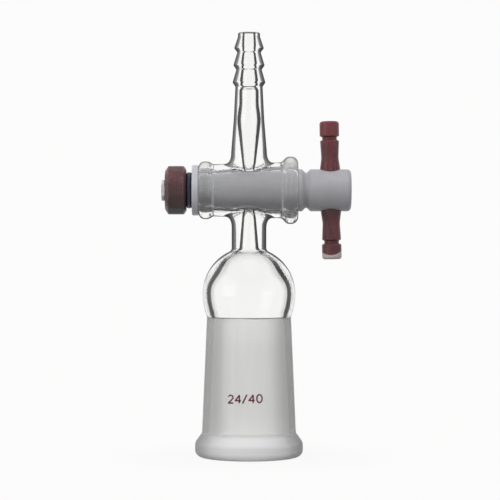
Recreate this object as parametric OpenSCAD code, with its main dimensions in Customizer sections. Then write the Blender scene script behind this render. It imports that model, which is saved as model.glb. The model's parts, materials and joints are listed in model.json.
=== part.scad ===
// Glass vacuum adapter with a stopcock: a ground socket below, a bulb, a tapered barrel with a
// PTFE plug across the flow, and a hose barb on top. Millimetres, +Z up.
// The origin is the centre of the socket's mouth, the flow runs along Z and the plug along X.

/* [Ground socket] */
// Bore of the ground socket at its mouth
socket_d = 24; // [20:0.5:28]
// Length of the ground taper
socket_l = 40; // [30:1:48]
// Length of taper for each millimetre that the bore narrows
socket_taper = 10; // [8:1:20]
// Glass wall behind the ground taper at its mouth
socket_wall = 1.4; // [1.2:0.1:2.2]
// Glass wall behind the ground taper at its top
socket_top_wall = 2; // [1.6:0.1:2.6]
// Height of the rolled rim round the mouth
rim_h = 6.9; // [5:0.1:9]
// How far the rolled rim stands out of the wall
rim_out = 2; // [1:0.1:3]
// Radius of the rolled rim's lower edge
rim_round = 2.4; // [1.5:0.1:2.8]

/* [Bulb] */
// How far the bulb stands outside the top of the socket
bulb_swell = 1.2; // [0.6:0.1:4]
// Height of the bulb's widest ring above the ground taper
bulb_rise = 6.6; // [5:0.1:10]
// Glass wall of the bulb
bulb_wall = 1.8; // [1.2:0.1:2.4]
// Fillet between the outside of the bulb and the lower neck
bulb_fillet = 1.2; // [0.5:0.1:2.5]
// Rounding where the bulb's inside opens into the lower neck
mouth_fillet = 1.8; // [0.5:0.1:2.5]

/* [Necks] */
// Outer diameter of the neck between the bulb and the barrel
neck_d = 9.9; // [8.6:0.1:11]
// Length of that neck, from the bulb to the barrel
neck_l = 9.5; // [7.5:0.5:16]
// Bore of that neck where it opens into the bulb
neck_bore_d = 4.1; // [3:0.1:5]
// Outer diameter of the hose stem where it leaves the barrel
stem_d = 10.2; // [8.8:0.1:11]
// Outer diameter of the hose stem halfway up
stem_mid_d = 8.7; // [8:0.1:9.6]
// Outer diameter of the hose stem under the barbs
stem_top_d = 7.9; // [7.4:0.1:8.4]
// Length of the hose stem, from the plug's axis to the barbs
stem_l = 29.6; // [26:0.2:50]
// Bore of the hose stem at its widest
stem_bore_d = 4.9; // [3.4:0.1:5.2]
// Height of that widest bore above the plug's axis
stem_wide_h = 20.4; // [16:0.2:21]
// Bore of the hose stem under the barbs
barb_bore_d = 4.1; // [3.4:0.1:4.6]
// Bore of both necks where they meet the barrel
port_d = 2.3; // [2.2:0.1:3]
// How far the fused seals spread over the barrel
seal_w = 2; // [1:0.1:2.4]
// How far the fused seals climb up the necks
seal_h = 3.2; // [2:0.1:4]

/* [Hose barb] */
// Number of barbs
barbs = 3; // [1:1:5]
// Distance from barb to barb
barb_pitch = 4.9; // [4:0.1:7]
// Largest diameter of the barb nearest the tip
barb_d = 8.5; // [8:0.1:9.2]
// How much wider each barb is than the one above it
barb_step = 0.45; // [0:0.05:0.6]
// Length of the undercut behind each barb
barb_undercut = 1.2; // [0.8:0.1:2]
// Diameter of the groove behind the barb nearest the tip
groove_d = 6.7; // [6:0.1:7.4]
// How much wider each groove is than the one above it
groove_step = 0.55; // [0:0.05:0.6]
// Outer diameter of the tip
tip_d = 6.3; // [5.6:0.1:7]
// Length from the first barb to the tip
tip_l = 4.4; // [3:0.1:7]
// Bore at the tip
tip_bore_d = 2.8; // [2.2:0.1:3.2]
// How much the bore narrows behind each barb
bore_pinch = 0.4; // [0:0.05:0.6]

/* [Barrel and plug] */
// Diameter of the plug at the flow axis
plug_d = 10.6; // [9:0.1:11]
// Length of plug for each millimetre that its diameter narrows
plug_taper = 10; // [8:1:20]
// Radial gap between the plug and the barrel
plug_gap = 0.05; // [0.02:0.01:0.1]
// Bore across the plug
plug_bore_d = 2; // [1:0.1:2.2]
// Barrel from the flow axis to its small end
barrel_small_l = 14.4; // [13:0.1:18]
// Barrel from the flow axis to its large end
barrel_large_l = 14; // [13:0.1:18]
// Glass wall of the barrel at its small end
barrel_small_wall = 2.7; // [2:0.1:3.4]
// Glass wall of the barrel at its large end
barrel_large_wall = 2.05; // [1.6:0.05:3]
// Width of the bead round the small end
small_bead_w = 4.2; // [3:0.1:5]
// How far the bead round the small end stands out of the barrel
small_bead_out = 0.9; // [0.4:0.1:2]
// Width of the bead round the large end
large_bead_w = 4.7; // [3.6:0.1:6]
// How far the bead round the large end stands out of the barrel
large_bead_out = 1.5; // [0.6:0.1:2.4]
// How deep the plug's small end lies in the barrel
plug_recess = 0.8; // [0.3:0.1:2]
// How far the plug's taper stands out of the large end
plug_collar_l = 1.1; // [0.5:0.1:3]
// Width of the groove between the taper and the head
head_groove_w = 2.4; // [1.5:0.1:4]
// Depth of that groove below the head
head_groove_depth = 0.95; // [0.4:0.05:2]
// Diameter of the plug's head
head_d = 12; // [10:0.1:14]
// Length of the plug's head
head_l = 11.6; // [9:0.1:16]
// Diameter of the plug's threaded end
thread_d = 6; // [5:0.1:6.4]
// Width across the flats that key the washer to the plug
thread_flats = 5; // [4:0.1:5.4]
// How far the threaded end passes the nut
thread_proud = 1.1; // [0:0.1:4]

/* [Handle] */
// Length of the handle
handle_l = 39.4; // [34:0.2:48]
// Diameter of the handle where it enters the head
handle_root_d = 5.7; // [4.8:0.1:6.4]
// Diameter of each arm at its waist
handle_waist_d = 4.85; // [4:0.05:5.4]
// Diameter of each arm next to its end cap
handle_arm_d = 5.35; // [4.4:0.05:6]
// Diameter of the end caps
cap_d = 5.5; // [4.6:0.1:6]
// Length of each end cap
cap_l = 4.2; // [3:0.1:6]
// Diameter of the groove behind each cap
cap_groove_d = 4.1; // [3:0.1:4.6]
// Width of the groove behind each cap
cap_groove_w = 1.4; // [0.8:0.1:2.4]
// Radial gap between the handle and its hole
handle_gap = 0.05; // [0.02:0.01:0.1]
// Lean of the handle in its hole, in degrees
handle_lean = 1.2; // [0:0.1:2]

/* [Washer, ring and nut] */
// Diameter of the washer
washer_d = 14.4; // [12:0.1:17]
// Thickness of the washer
washer_t = 1.85; // [1:0.05:3]
// Outer diameter of the rubber ring
ring_d = 10.3; // [9:0.1:12]
// Thickness of the squeezed rubber ring
ring_t = 1.65; // [1:0.05:2.5]
// Size of the nut over its corners
nut_d = 14.3; // [12:0.1:18]
// Length of the nut
nut_l = 6; // [4:0.1:9]
// Number of flats round the nut
nut_sides = 12; // [6:1:12]
// Radial depth of the nut's outer chamfer
nut_chamfer = 1.6; // [0.4:0.1:2]
// Radial gap of the washer, the ring and the nut round the threaded end
thread_gap = 0.05; // [0.02:0.01:0.1]

/* [Hidden] */
$fn = 96;
// How far a cut runs past the surface that it opens
over = 1;
// Turn of one straight step of a rounded outline, in degrees
arc_step = 6;
// Largest share of a side that one rounded corner may take
side_share = 0.6;

// Rounding of glass that was drawn out, rolled into a bead, or pressed to an edge
draw_round = 12;
bead_round = 2;
glass_edge = 0.4;
// Rounding of turned and moulded edges
turned_edge = 0.2;
mould_edge = 0.3;
head_edge = 1.1;
cap_edge = 0.8;

// Socket radii and heights
mouth_r = socket_d / 2;
socket_top_r = mouth_r - socket_l / socket_taper / 2;
rim_r = mouth_r + socket_wall + rim_out;
rim_shoulder_h = 0.6 * rim_h;

// Bulb
bulb_foot_r = socket_top_r + socket_top_wall;
bulb_r = bulb_foot_r + bulb_swell;
bulb_z = socket_l + bulb_rise;

// Barrel, as radii that grow along +X with the plug's taper
plug_slope = 1 / plug_taper / 2;
plug_r = plug_d / 2;
bore_small_r = plug_r + plug_gap - barrel_small_l * plug_slope;
bore_large_r = plug_r + plug_gap + barrel_large_l * plug_slope;
barrel_small_r = bore_small_r + barrel_small_wall;
barrel_large_r = bore_large_r + barrel_large_wall;
barrel_slope = (barrel_large_r - barrel_small_r) / (barrel_small_l + barrel_large_l);
barrel_mid_r = barrel_small_r + barrel_slope * barrel_small_l;
bore_edge = 0.4;

// Heights of the upright body
neck_r = neck_d / 2;
neck_foot_z = bulb_z + sqrt(pow(bulb_r, 2) - pow(neck_r, 2));
axis_z = neck_foot_z + neck_l + barrel_mid_r;
stem_r = stem_d / 2;
stem_foot_z = axis_z + barrel_mid_r + seal_h;
barb_foot_z = axis_z + stem_l;
stem_mid_z = (stem_foot_z + barb_foot_z) / 2;
first_barb_z = barb_foot_z + barb_undercut + (barbs - 1) * barb_pitch;
tip_z = first_barb_z + tip_l;
tip_r = tip_d / 2;
tip_bore_r = tip_bore_d / 2;
port_r = port_d / 2;

// Fused seals: how much they shrink beside the barrel, how far they lie under the surfaces that
// they leave and meet, how deep their root is, and how far out on the barrel they may reach
seal_side = 0.55;
seal_skin = 0.1;
seal_root = 0.8;
seal_room = 0.94;
seal_steps = 8;
seal_rays = 48;

// Plug and what is on it, along X
small_end_x = -barrel_small_l;
large_end_x = barrel_large_l;
taper_small_x = small_end_x + plug_recess;
taper_large_x = large_end_x + plug_collar_l;
collar_r = plug_r + taper_large_x * plug_slope;
head_r = head_d / 2;
head_x = taper_large_x + head_groove_w;
head_end_x = head_x + head_l;
head_groove_r = min(head_r, collar_r) - head_groove_depth;
head_groove_x = (taper_large_x + head_x) / 2;
head_groove_floor = head_groove_w / 6;
thread_r = thread_d / 2;
thread_hole_r = thread_r + thread_gap;
washer_x = small_end_x - washer_t;
ring_x = washer_x - ring_t;
nut_x = ring_x - nut_l;
thread_end_x = nut_x - thread_proud;
handle_x = head_x + head_l / 2;
// Place of an arm's waist, as a share of the way from the head to the groove
waist_share = 0.4;
// Length of the nut's chamfers for each millimetre of their depth
chamfer_share = 0.65;

// Radius of the plug's taper at the distance x from the flow axis
function taper_r(x) = plug_r + x * plug_slope;

// Radius of the barrel's outside, without its beads, at the distance x from the flow axis
function barrel_r(x) = barrel_mid_r + x * barrel_slope;

// Height of the barrel's outside above its own axis, over the point x, y
function barrel_top(x, y) = sqrt(pow(barrel_r(x), 2) - pow(y, 2));

// Points of an arc about centre c with radius r, from angle a to angle b
function arc(c, r, a, b) =
    let (n = max(2, ceil(abs(b - a) / arc_step)))
    [for (i = [0:n]) c + r * [cos(a + (b - a) * i / n), sin(a + (b - a) * i / n)]];

// The corner b of an outline a, b, c, rounded to radius r as far as its sides have room
function corner(a, b, c, r) =
    let (
        u = (a - b) / norm(a - b),
        v = (c - b) / norm(c - b),
        half = acos(u * v) / 2,
        reach = min(r / tan(half), side_share * min(norm(a - b), norm(c - b))),
        centre = b + (u + v) / norm(u + v) * reach / cos(half),
        from = b + u * reach - centre,
        to = b + v * reach - centre,
        start = atan2(from.y, from.x),
        turn = (atan2(to.y, to.x) - start + 540) % 360 - 180
    )
    arc(centre, norm(from), start, start + turn);

// An outline whose points are [x, y] for a sharp corner or [x, y, radius] for a rounded one
function rounded(p) =
    let (n = len(p), at = [for (q = p) [q.x, q.y]])
    [for (i = [0:n - 1])
        each (len(p[i]) > 2 ? corner(at[(i + n - 1) % n], at[i], at[(i + 1) % n], p[i].z) : [at[i]])];

// Outline of a blown bulb of radius r, from its foot on the socket to its fillet with a neck.
// Below its widest ring it is one flat arc, above it is round.
function bulb_outline(r, foot_r, tube_r, fillet) =
    let (
        swell = r - foot_r,
        low_r = (pow(bulb_rise, 2) + pow(swell, 2)) / (2 * swell),
        fillet_z = bulb_z + sqrt(pow(r + fillet, 2) - pow(tube_r + fillet, 2)),
        top = atan2(fillet_z - bulb_z, tube_r + fillet)
    )
    concat(
        arc([r - low_r, bulb_z], low_r, -asin(bulb_rise / low_r), 0),
        arc([0, bulb_z], r, arc_step, top),
        arc([tube_r + fillet, fillet_z], fillet, 180 + top, 180)
    );

// Height of the largest ring of barb i, and of the groove behind it, counted down from the tip
function barb_z(i) = first_barb_z - i * barb_pitch;

function groove_z(i) = barb_z(i) - barb_undercut;

// Solid of revolution about X from an outline of [x, radius] points
module turned(outline) {
    rotate([0, 90, 0])
        rotate_extrude()
            polygon([for (q = outline) [q.y, q.x]]);
}

// Outside of the socket, the bulb, the necks and the barbs, as one solid of revolution
module upright_outside() {
    socket = rounded([
        [0, 0],
        [rim_r, 0, rim_round],
        [rim_r, rim_shoulder_h, rim_round],
        [mouth_r + socket_wall, rim_h, rim_out / 2],
        [bulb_foot_r, socket_l]
    ]);
    barb_rings = [for (i = [barbs - 1:-1:0]) each [
        [(groove_d + i * groove_step) / 2, groove_z(i), glass_edge],
        [(barb_d + i * barb_step) / 2, barb_z(i), glass_edge]
    ]];
    stem = rounded(concat(
        [
            [0, axis_z],
            [stem_r, axis_z],
            [stem_r, stem_foot_z, draw_round],
            [stem_mid_d / 2, stem_mid_z, draw_round],
            [stem_top_d / 2, barb_foot_z - barb_undercut, bead_round]
        ],
        barb_rings,
        [
            [tip_r, tip_z - tip_l / 4, glass_edge],
            [tip_r, tip_z, glass_edge],
            [0, tip_z]
        ]
    ));
    rotate_extrude()
        polygon(concat(
            socket,
            bulb_outline(bulb_r, bulb_foot_r, neck_r, bulb_fillet),
            [[neck_r, axis_z], [0, axis_z]]
        ));
    rotate_extrude()
        polygon(stem);
}

// Ground cone, inside of the bulb and the bore of both necks, as one solid of revolution
module upright_inside() {
    pinches = [for (i = [barbs - 1:-1:0])
        let (r = tip_bore_r + i * (barb_bore_d - tip_bore_d) / 2 / barbs)
        each [[r - bore_pinch / 2, groove_z(i), glass_edge], [r, barb_z(i), bead_round]]];
    stem_bore = rounded(concat(
        [
            [port_r, axis_z],
            [port_r, axis_z + barrel_mid_r, draw_round],
            [stem_bore_d / 2, axis_z + stem_wide_h, draw_round],
            [barb_bore_d / 2, barb_foot_z - barb_pitch, draw_round],
            [barb_bore_d / 2, barb_foot_z - barb_undercut, bead_round]
        ],
        pinches,
        [
            [tip_bore_r, tip_z - bore_edge, glass_edge],
            [tip_bore_r + bore_edge + over, tip_z + over],
            [0, tip_z + over]
        ]
    ));
    rotate_extrude()
        polygon(concat(
            [[0, -over], [mouth_r + over / socket_taper / 2, -over], [socket_top_r, socket_l]],
            bulb_outline(bulb_r - bulb_wall, socket_top_r, neck_bore_d / 2, mouth_fillet),
            [[port_r, axis_z - barrel_mid_r]],
            stem_bore
        ));
}

// Outside of the barrel with a bead round each end
module barrel_outside() {
    small_bead_r = barrel_small_r + small_bead_out;
    large_bead_r = barrel_large_r + large_bead_out;
    small_bead_x = small_end_x + small_bead_w;
    large_bead_x = large_end_x - large_bead_w;
    turned(rounded([
        [small_end_x, 0],
        [small_end_x, small_bead_r, bead_round],
        [small_bead_x - 1.5 * small_bead_out, small_bead_r, bead_round],
        [small_bead_x, barrel_r(small_bead_x), small_bead_out / 2],
        [large_bead_x, barrel_r(large_bead_x), large_bead_out],
        [large_bead_x + large_bead_out, large_bead_r, large_bead_out],
        [large_end_x, large_bead_r, bead_round],
        [large_end_x, 0]
    ]));
}

// Tapered bore of the barrel, opened a little at both ends
module barrel_inside() {
    turned([
        [small_end_x - over, 0],
        [small_end_x - over, bore_small_r + bore_edge + over],
        [small_end_x + bore_edge, bore_small_r + bore_edge * plug_slope],
        [large_end_x - bore_edge, bore_large_r - bore_edge * plug_slope],
        [large_end_x + over, bore_large_r + bore_edge + over],
        [large_end_x + over, 0]
    ]);
}

// Section of a fused seal in the direction a: from inside the neck wall, along a curve that
// leaves the neck upright and meets the barrel's surface, to inside the barrel's wall
function seal_section(tube_r, a) =
    let (
        ease = 1 - seal_side * pow(sin(a), 2),
        reach = min(seal_w, seal_room * barrel_mid_r - tube_r) * ease,
        foot_r = tube_r + reach,
        foot_z = barrel_top(foot_r * cos(a), foot_r * sin(a)),
        inner_z = barrel_top(tube_r * cos(a), tube_r * sin(a)),
        slope = (inner_z - foot_z) / reach + tube_r * pow(sin(a), 2) / inner_z / 4,
        bend = [tube_r, foot_z + slope * reach],
        head = [tube_r - seal_skin, bend.y + seal_h * ease],
        foot = [foot_r, foot_z - seal_skin]
    )
    concat(
        [[tube_r - seal_root, head.y]],
        [for (i = [0:seal_steps])
            let (t = i / seal_steps)
            pow(1 - t, 2) * head + 2 * t * (1 - t) * bend + pow(t, 2) * foot],
        [[tube_r - seal_root, foot.y - seal_root]]
    );

// Glass fused round the foot of a neck where it stands on the barrel
module seal(tube_r) {
    rings = [for (k = [0:seal_rays - 1]) seal_section(tube_r, k * 360 / seal_rays)];
    m = len(rings[0]);
    points = [for (k = [0:seal_rays - 1]) for (q = rings[k])
        [q.x * cos(k * 360 / seal_rays), q.x * sin(k * 360 / seal_rays), q.y]];
    faces = [for (k = [0:seal_rays - 1]) for (j = [0:m - 1])
        let (
            a = k * m + j,
            b = k * m + (j + 1) % m,
            c = (k + 1) % seal_rays * m + (j + 1) % m,
            d = (k + 1) % seal_rays * m + j
        )
        each [[c, b, a], [d, c, a]]];
    polyhedron(points, faces);
}

// The blown glass: socket, bulb, necks, barrel and barbs fused into one piece
module glass_body() {
    color([0.86, 0.92, 0.93, 0.45])
        difference() {
            union() {
                upright_outside();
                translate([0, 0, axis_z]) {
                    barrel_outside();
                    seal(stem_r);
                    mirror([0, 0, 1])
                        seal(neck_r);
                }
            }
            upright_inside();
            translate([0, 0, axis_z])
                barrel_inside();
        }
}

// Rod with the shape of the threaded end, with the clearance gap all round
module keyed_rod(x, length, gap) {
    intersection() {
        translate([x, 0, 0])
            rotate([0, 90, 0])
                cylinder(r = thread_r + gap, h = length);
        translate([x - over, -thread_flats / 2 - gap, -thread_d])
            cube([length + 2 * over, thread_flats + 2 * gap, 2 * thread_d]);
    }
}

// PTFE plug: a keyed threaded end, the taper with its bore across, and the head
module plug() {
    color([0.9, 0.9, 0.92])
        translate([0, 0, axis_z])
            difference() {
                union() {
                    turned(rounded([
                        [taper_small_x, 0],
                        [taper_small_x, taper_r(taper_small_x), mould_edge],
                        [taper_large_x, collar_r, turned_edge],
                        [head_groove_x - head_groove_floor / 2, head_groove_r, mould_edge],
                        [head_groove_x + head_groove_floor / 2, head_groove_r, mould_edge],
                        [head_x, head_r, turned_edge],
                        [head_end_x, head_r, head_edge],
                        [head_end_x, 0]
                    ]));
                    keyed_rod(thread_end_x, taper_small_x - thread_end_x + over, 0);
                }
                translate([0, 0, -plug_d])
                    cylinder(d = plug_bore_d, h = 2 * plug_d);
                translate([handle_x, 0, 0])
                    rotate([0, -handle_lean, 0])
                        translate([0, 0, -head_d])
                            cylinder(d = handle_root_d + 2 * handle_gap, h = 2 * head_d);
            }
}

// Moulded handle through the head: two waisted arms with a groove and a cap on each
module handle() {
    cap_z = handle_l / 2 - cap_l;
    arm_z = cap_z - cap_groove_w;
    waist_z = head_r + waist_share * (arm_z - head_r);
    root_z = head_r + mould_edge;
    groove_lip = cap_groove_w / 4;
    arm = [
        [handle_root_d / 2, root_z, bead_round],
        [handle_waist_d / 2, waist_z, draw_round / 2],
        [handle_arm_d / 2, arm_z, mould_edge],
        [cap_groove_d / 2, arm_z + groove_lip, mould_edge],
        [cap_groove_d / 2, cap_z - groove_lip, mould_edge],
        [cap_d / 2, cap_z, mould_edge],
        [cap_d / 2, handle_l / 2, cap_edge]
    ];
    color([0.42, 0.12, 0.13])
        translate([handle_x, 0, axis_z])
            rotate([0, -handle_lean, 0])
                rotate_extrude()
                    polygon(rounded(concat(
                        [[0, -handle_l / 2]],
                        [for (i = [len(arm) - 1:-1:0]) [arm[i].x, -arm[i].y, arm[i].z]],
                        arm,
                        [[0, handle_l / 2]]
                    )));
}

// PTFE washer, keyed to the plug by the flats of its hole
module washer() {
    edge = washer_t / 6;
    color([0.88, 0.89, 0.92])
        translate([0, 0, axis_z])
            difference() {
                turned(rounded([
                    [washer_x, 0],
                    [washer_x, washer_d / 2, edge],
                    [small_end_x, washer_d / 2, edge],
                    [small_end_x, 0]
                ]));
                keyed_rod(washer_x - over, washer_t + 2 * over, thread_gap);
            }
}

// Rubber ring, squeezed flat between the washer and the nut
module o_ring() {
    squeezed = 0.4 * ring_t;
    color([0.08, 0.08, 0.13])
        translate([0, 0, axis_z])
            turned(rounded([
                [ring_x, thread_hole_r, squeezed],
                [ring_x, ring_d / 2, squeezed],
                [washer_x, ring_d / 2, squeezed],
                [washer_x, thread_hole_r, squeezed]
            ]));
}

// Moulded nut with flat sides, chamfered at both ends, less on the side of the ring
module nut() {
    inner_chamfer = 0.75 * nut_chamfer;
    color([0.40, 0.13, 0.14])
        translate([0, 0, axis_z])
            difference() {
                intersection() {
                    translate([nut_x, 0, 0])
                        rotate([0, 90, 0])
                            rotate([0, 0, 180 / nut_sides])
                                cylinder(d = nut_d, h = nut_l, $fn = nut_sides);
                    turned([
                        [nut_x, 0],
                        [nut_x, nut_d / 2 - nut_chamfer],
                        [nut_x + chamfer_share * (nut_chamfer + over), nut_d / 2 + over],
                        [ring_x - chamfer_share * (inner_chamfer + over), nut_d / 2 + over],
                        [ring_x, nut_d / 2 - inner_chamfer],
                        [ring_x, 0]
                    ]);
                }
                translate([nut_x - over, 0, 0])
                    rotate([0, 90, 0])
                        cylinder(r = thread_hole_r, h = nut_l + 2 * over);
            }
}

glass_body();
plug();
handle();
washer();
o_ring();
nut();
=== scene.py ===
# %% [markdown]
# # A glass stopcock, dressed round its frame
#
# The object is a laboratory adapter: a ground glass socket below, a blown bulb, a tapered
# barrel with a PTFE plug across the flow, and a hose stem with three barbs on top. A dark red
# moulded handle goes through the plug's head, and a washer, a rubber ring and a moulded nut
# hold the plug's small end.
#
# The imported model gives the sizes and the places. Here each piece gets its real surface.

# %% Load the frame
import json
import math

import bmesh
import bpy
from mathutils import Matrix, Vector


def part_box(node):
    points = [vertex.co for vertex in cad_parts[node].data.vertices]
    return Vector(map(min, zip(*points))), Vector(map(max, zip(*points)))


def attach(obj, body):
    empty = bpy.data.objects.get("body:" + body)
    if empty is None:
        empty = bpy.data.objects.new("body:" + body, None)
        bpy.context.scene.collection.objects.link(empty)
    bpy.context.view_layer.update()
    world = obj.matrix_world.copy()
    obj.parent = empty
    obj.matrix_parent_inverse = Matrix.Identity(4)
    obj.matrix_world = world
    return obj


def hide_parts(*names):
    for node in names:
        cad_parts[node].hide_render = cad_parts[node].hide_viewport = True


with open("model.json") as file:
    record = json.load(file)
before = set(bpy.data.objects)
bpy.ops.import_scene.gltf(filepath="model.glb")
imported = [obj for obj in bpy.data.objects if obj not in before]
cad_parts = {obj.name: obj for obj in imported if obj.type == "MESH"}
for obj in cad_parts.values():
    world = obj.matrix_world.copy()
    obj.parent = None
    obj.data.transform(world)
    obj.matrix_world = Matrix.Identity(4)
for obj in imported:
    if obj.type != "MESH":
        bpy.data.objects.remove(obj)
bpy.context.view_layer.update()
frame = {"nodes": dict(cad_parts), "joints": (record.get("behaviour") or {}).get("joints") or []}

MM = 0.001
joints = {joint["name"]: joint for joint in frame["joints"]}
axis_z = joints["plug_turn"]["pos_m"][2] / MM
print("plug's axis at", round(axis_z, 2), "mm")

# %% [markdown]
# ## The camera and the light
#
# Clear glass has no colour of its own, so it is shown in front of something white, and its
# edges draw it in dark lines. The world is white where a camera, a mirror or a glass looks
# at it, and softer where it only lights things, so a colour renders about as it is written.
# One large soft lamp hangs above, a weaker one stands on each side, and the camera stands
# level with the middle of the object and far away, with a long lens.

# %% Camera
CAMERA_DISTANCE = 550
CAMERA_X = 0.286
CAMERA_Z = 59
FRAME_WIDTH = 142.86
SENSOR = 36

camera_data = bpy.data.cameras.new("camera")
camera_data.sensor_width = SENSOR
camera_data.lens = SENSOR * CAMERA_DISTANCE / FRAME_WIDTH
camera = bpy.data.objects.new("camera", camera_data)
camera.location = Vector((CAMERA_X, -CAMERA_DISTANCE, CAMERA_Z)) * MM
camera.rotation_euler = (math.radians(90), 0, 0)
bpy.context.collection.objects.link(camera)
bpy.context.scene.camera = camera
bpy.context.scene.view_settings.view_transform = "Standard"
print("lens", round(camera_data.lens, 1), "mm")

# %% Lamps
MIDDLE = (0, 0, 60)


def soft_lamp(name, place, size, power):
    """A square area lamp at a place in millimetres, aimed at the object's middle."""
    data = bpy.data.lights.new(name, "AREA")
    data.shape = "SQUARE"
    data.size = size * MM
    data.energy = power
    lamp = bpy.data.objects.new(name, data)
    lamp.location = Vector(place) * MM
    way = Vector(MIDDLE) - Vector(place)
    lamp.rotation_euler = way.to_track_quat("-Z", "Y").to_euler()
    bpy.context.collection.objects.link(lamp)
    return lamp


top_lamp = soft_lamp("top_lamp", (0, -190, 470), 320, 0.86)
top_lamp.visible_glossy = False
top_lamp.visible_transmission = False
soft_lamp("left_lamp", (-400, -290, 170), 340, 0.66)
soft_lamp("right_lamp", (400, -290, 170), 340, 0.24)
print("lamps", [light.name for light in bpy.data.lights])

# %% [markdown]
# ## Small helpers for materials
#
# A material is a tree of nodes. These helpers only place a node and join its sockets, so that
# each recipe below stays short enough to read.

# %% Node helpers
def give(tree, socket, value):
    """Give an input a value, or join it to another node's output."""
    if isinstance(value, bpy.types.NodeSocket):
        tree.links.new(value, socket)
    else:
        socket.default_value = value


def add(tree, kind, inputs=None, **settings):
    """A node of a kind, with values or links for its inputs by name or number."""
    made = tree.nodes.new("ShaderNode" + kind)
    for key, value in settings.items():
        setattr(made, key, value)
    for key, value in (inputs or {}).items():
        give(tree, made.inputs[key], value)
    return made


def new_material(name):
    """A material with an empty tree, and its output node."""
    material = bpy.data.materials.new(name)
    material.use_nodes = True
    tree = material.node_tree
    tree.nodes.clear()
    return material, tree, tree.nodes.new("ShaderNodeOutputMaterial")


# %% Sums and blends
def maths(tree, operation, a, b=0.0):
    """One sum of a Math node."""
    return add(tree, "Math", {0: a, 1: b}, operation=operation).outputs[0]


def times(tree, a, b):
    """Two values multiplied."""
    return maths(tree, "MULTIPLY", a, b)


def larger(tree, a, b):
    """The larger of two values."""
    return maths(tree, "MAXIMUM", a, b)


def rest_of(tree, share):
    """What a share leaves of 1."""
    return maths(tree, "SUBTRACT", 1.0, share)


def ramp(tree, value, low, high, to_low=0.0, to_high=1.0):
    """A soft step from to_low to to_high while value goes from low to high."""
    return add(tree, "MapRange", {"Value": value, "From Min": low, "From Max": high,
                                  "To Min": to_low, "To Max": to_high},
               interpolation_type="SMOOTHSTEP").outputs["Result"]


def grey(level):
    """A grey as four numbers, from black 0 to white 1."""
    return (level, level, level, 1)


def blend_colours(tree, factor, a, b):
    """Colour a turned into colour b by a factor."""
    return add(tree, "Mix", {0: factor, 6: a, 7: b}, data_type="RGBA").outputs[2]


# %% Places and noise
def spot(tree):
    """Where a point of a piece is: the vector, and its x and z in millimetres."""
    place = add(tree, "TexCoord").outputs["Object"]
    apart = add(tree, "SeparateXYZ", {0: place}).outputs
    return place, times(tree, apart["X"], 1 / MM), times(tree, apart["Z"], 1 / MM)


def noise(tree, place, scale, detail, roughness=0.5):
    """Noise between 0 and 1 over a place."""
    return add(tree, "TexNoise", {"Vector": place, "Scale": scale, "Detail": detail,
                                  "Roughness": roughness}).outputs[0]


def noise_along(tree, distance, detail):
    """Noise between 0 and 1 along a line."""
    return add(tree, "TexNoise", {"W": distance, "Scale": 1.0, "Detail": detail},
               noise_dimensions="1D").outputs[0]


# %% The white surround
ROOM_LIGHT, SEEN_WHITE = 0.34, 0.97
COOL_WHITE, WARM_WHITE = (0.98, 0.98, 1.0, 1), (1.0, 1.0, 0.998, 1)


def looked_at(tree):
    """1 for a ray of a camera, a mirror or a glass, and 0 for one that only lights."""
    path = add(tree, "LightPath").outputs
    return larger(tree, path["Is Camera Ray"],
                  larger(tree, path["Is Glossy Ray"], path["Is Transmission Ray"]))


world = bpy.data.worlds.new("white_room")
world.use_nodes = True
bpy.context.scene.world = world
tree = world.node_tree
tree.nodes.clear()
fill = add(tree, "Background", {"Color": COOL_WHITE, "Strength": ROOM_LIGHT})
shown = add(tree, "Background", {"Color": WARM_WHITE, "Strength": SEEN_WHITE})
room = add(tree, "MixShader", {0: looked_at(tree), 1: fill.outputs[0], 2: shown.outputs[0]})
out = tree.nodes.new("ShaderNodeOutputWorld")
tree.links.new(room.outputs[0], out.inputs[0])
print("world lights with", ROOM_LIGHT, "and shows", SEEN_WHITE)

# %% [markdown]
# ## Outlines with rounded corners
#
# Almost every piece here was turned, blown or drawn round an axis, so it is a ring that is
# pulled along an outline. An outline is a list of corners, as on a shop drawing, and a corner
# may have a radius. Long straight stretches are divided, so that smooth shading stays true.

# %% Outline helpers
ARC_STEP = 6
SIDE_SHARE = 0.6
LONGEST = 2.0
TINY = 1e-6


def arc(centre, radius, start, end):
    """Points of an arc from angle start to angle end, in degrees."""
    count = max(2, math.ceil(abs(end - start) / ARC_STEP))
    turns = [math.radians(start + (end - start) * i / count) for i in range(count + 1)]
    return [(centre[0] + radius * math.cos(t), centre[1] + radius * math.sin(t)) for t in turns]


def corner(before, at, after, radius):
    """The corner of an outline, rounded as far as its two sides have room."""
    p, q, s = Vector(before[:2]), Vector(at[:2]), Vector(after[:2])
    u = (p - q).normalized()
    v = (s - q).normalized()
    half = math.acos(max(-1, min(1, u.dot(v)))) / 2
    reach = min(radius / math.tan(half),
                SIDE_SHARE * min((p - q).length, (s - q).length))
    centre = q + (u + v).normalized() * reach / math.cos(half)
    first = q + u * reach - centre
    last = q + v * reach - centre
    start = math.degrees(math.atan2(first.y, first.x))
    turn = (math.degrees(math.atan2(last.y, last.x)) - start + 540) % 360 - 180
    return arc(centre, first.length, start, start + turn)


def rounded(points):
    """An outline of (x, y) and (x, y, radius) points, with its corners rounded."""
    out = []
    for i, point in enumerate(points):
        if len(point) > 2:
            out += corner(points[i - 1], point, points[(i + 1) % len(points)], point[2])
        else:
            out.append(tuple(point))
    return out


def divided(points, longest=LONGEST):
    """The same outline with no stretch longer than a limit, and no point twice."""
    out = [points[0]]
    for point in points[1:]:
        gap = math.dist(out[-1], point)
        count = math.ceil(gap / longest - TINY)
        last = out[-1]
        for i in range(1, count + 1):
            out.append(tuple(a + (b - a) * i / count for a, b in zip(last, point)))
    return out


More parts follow.
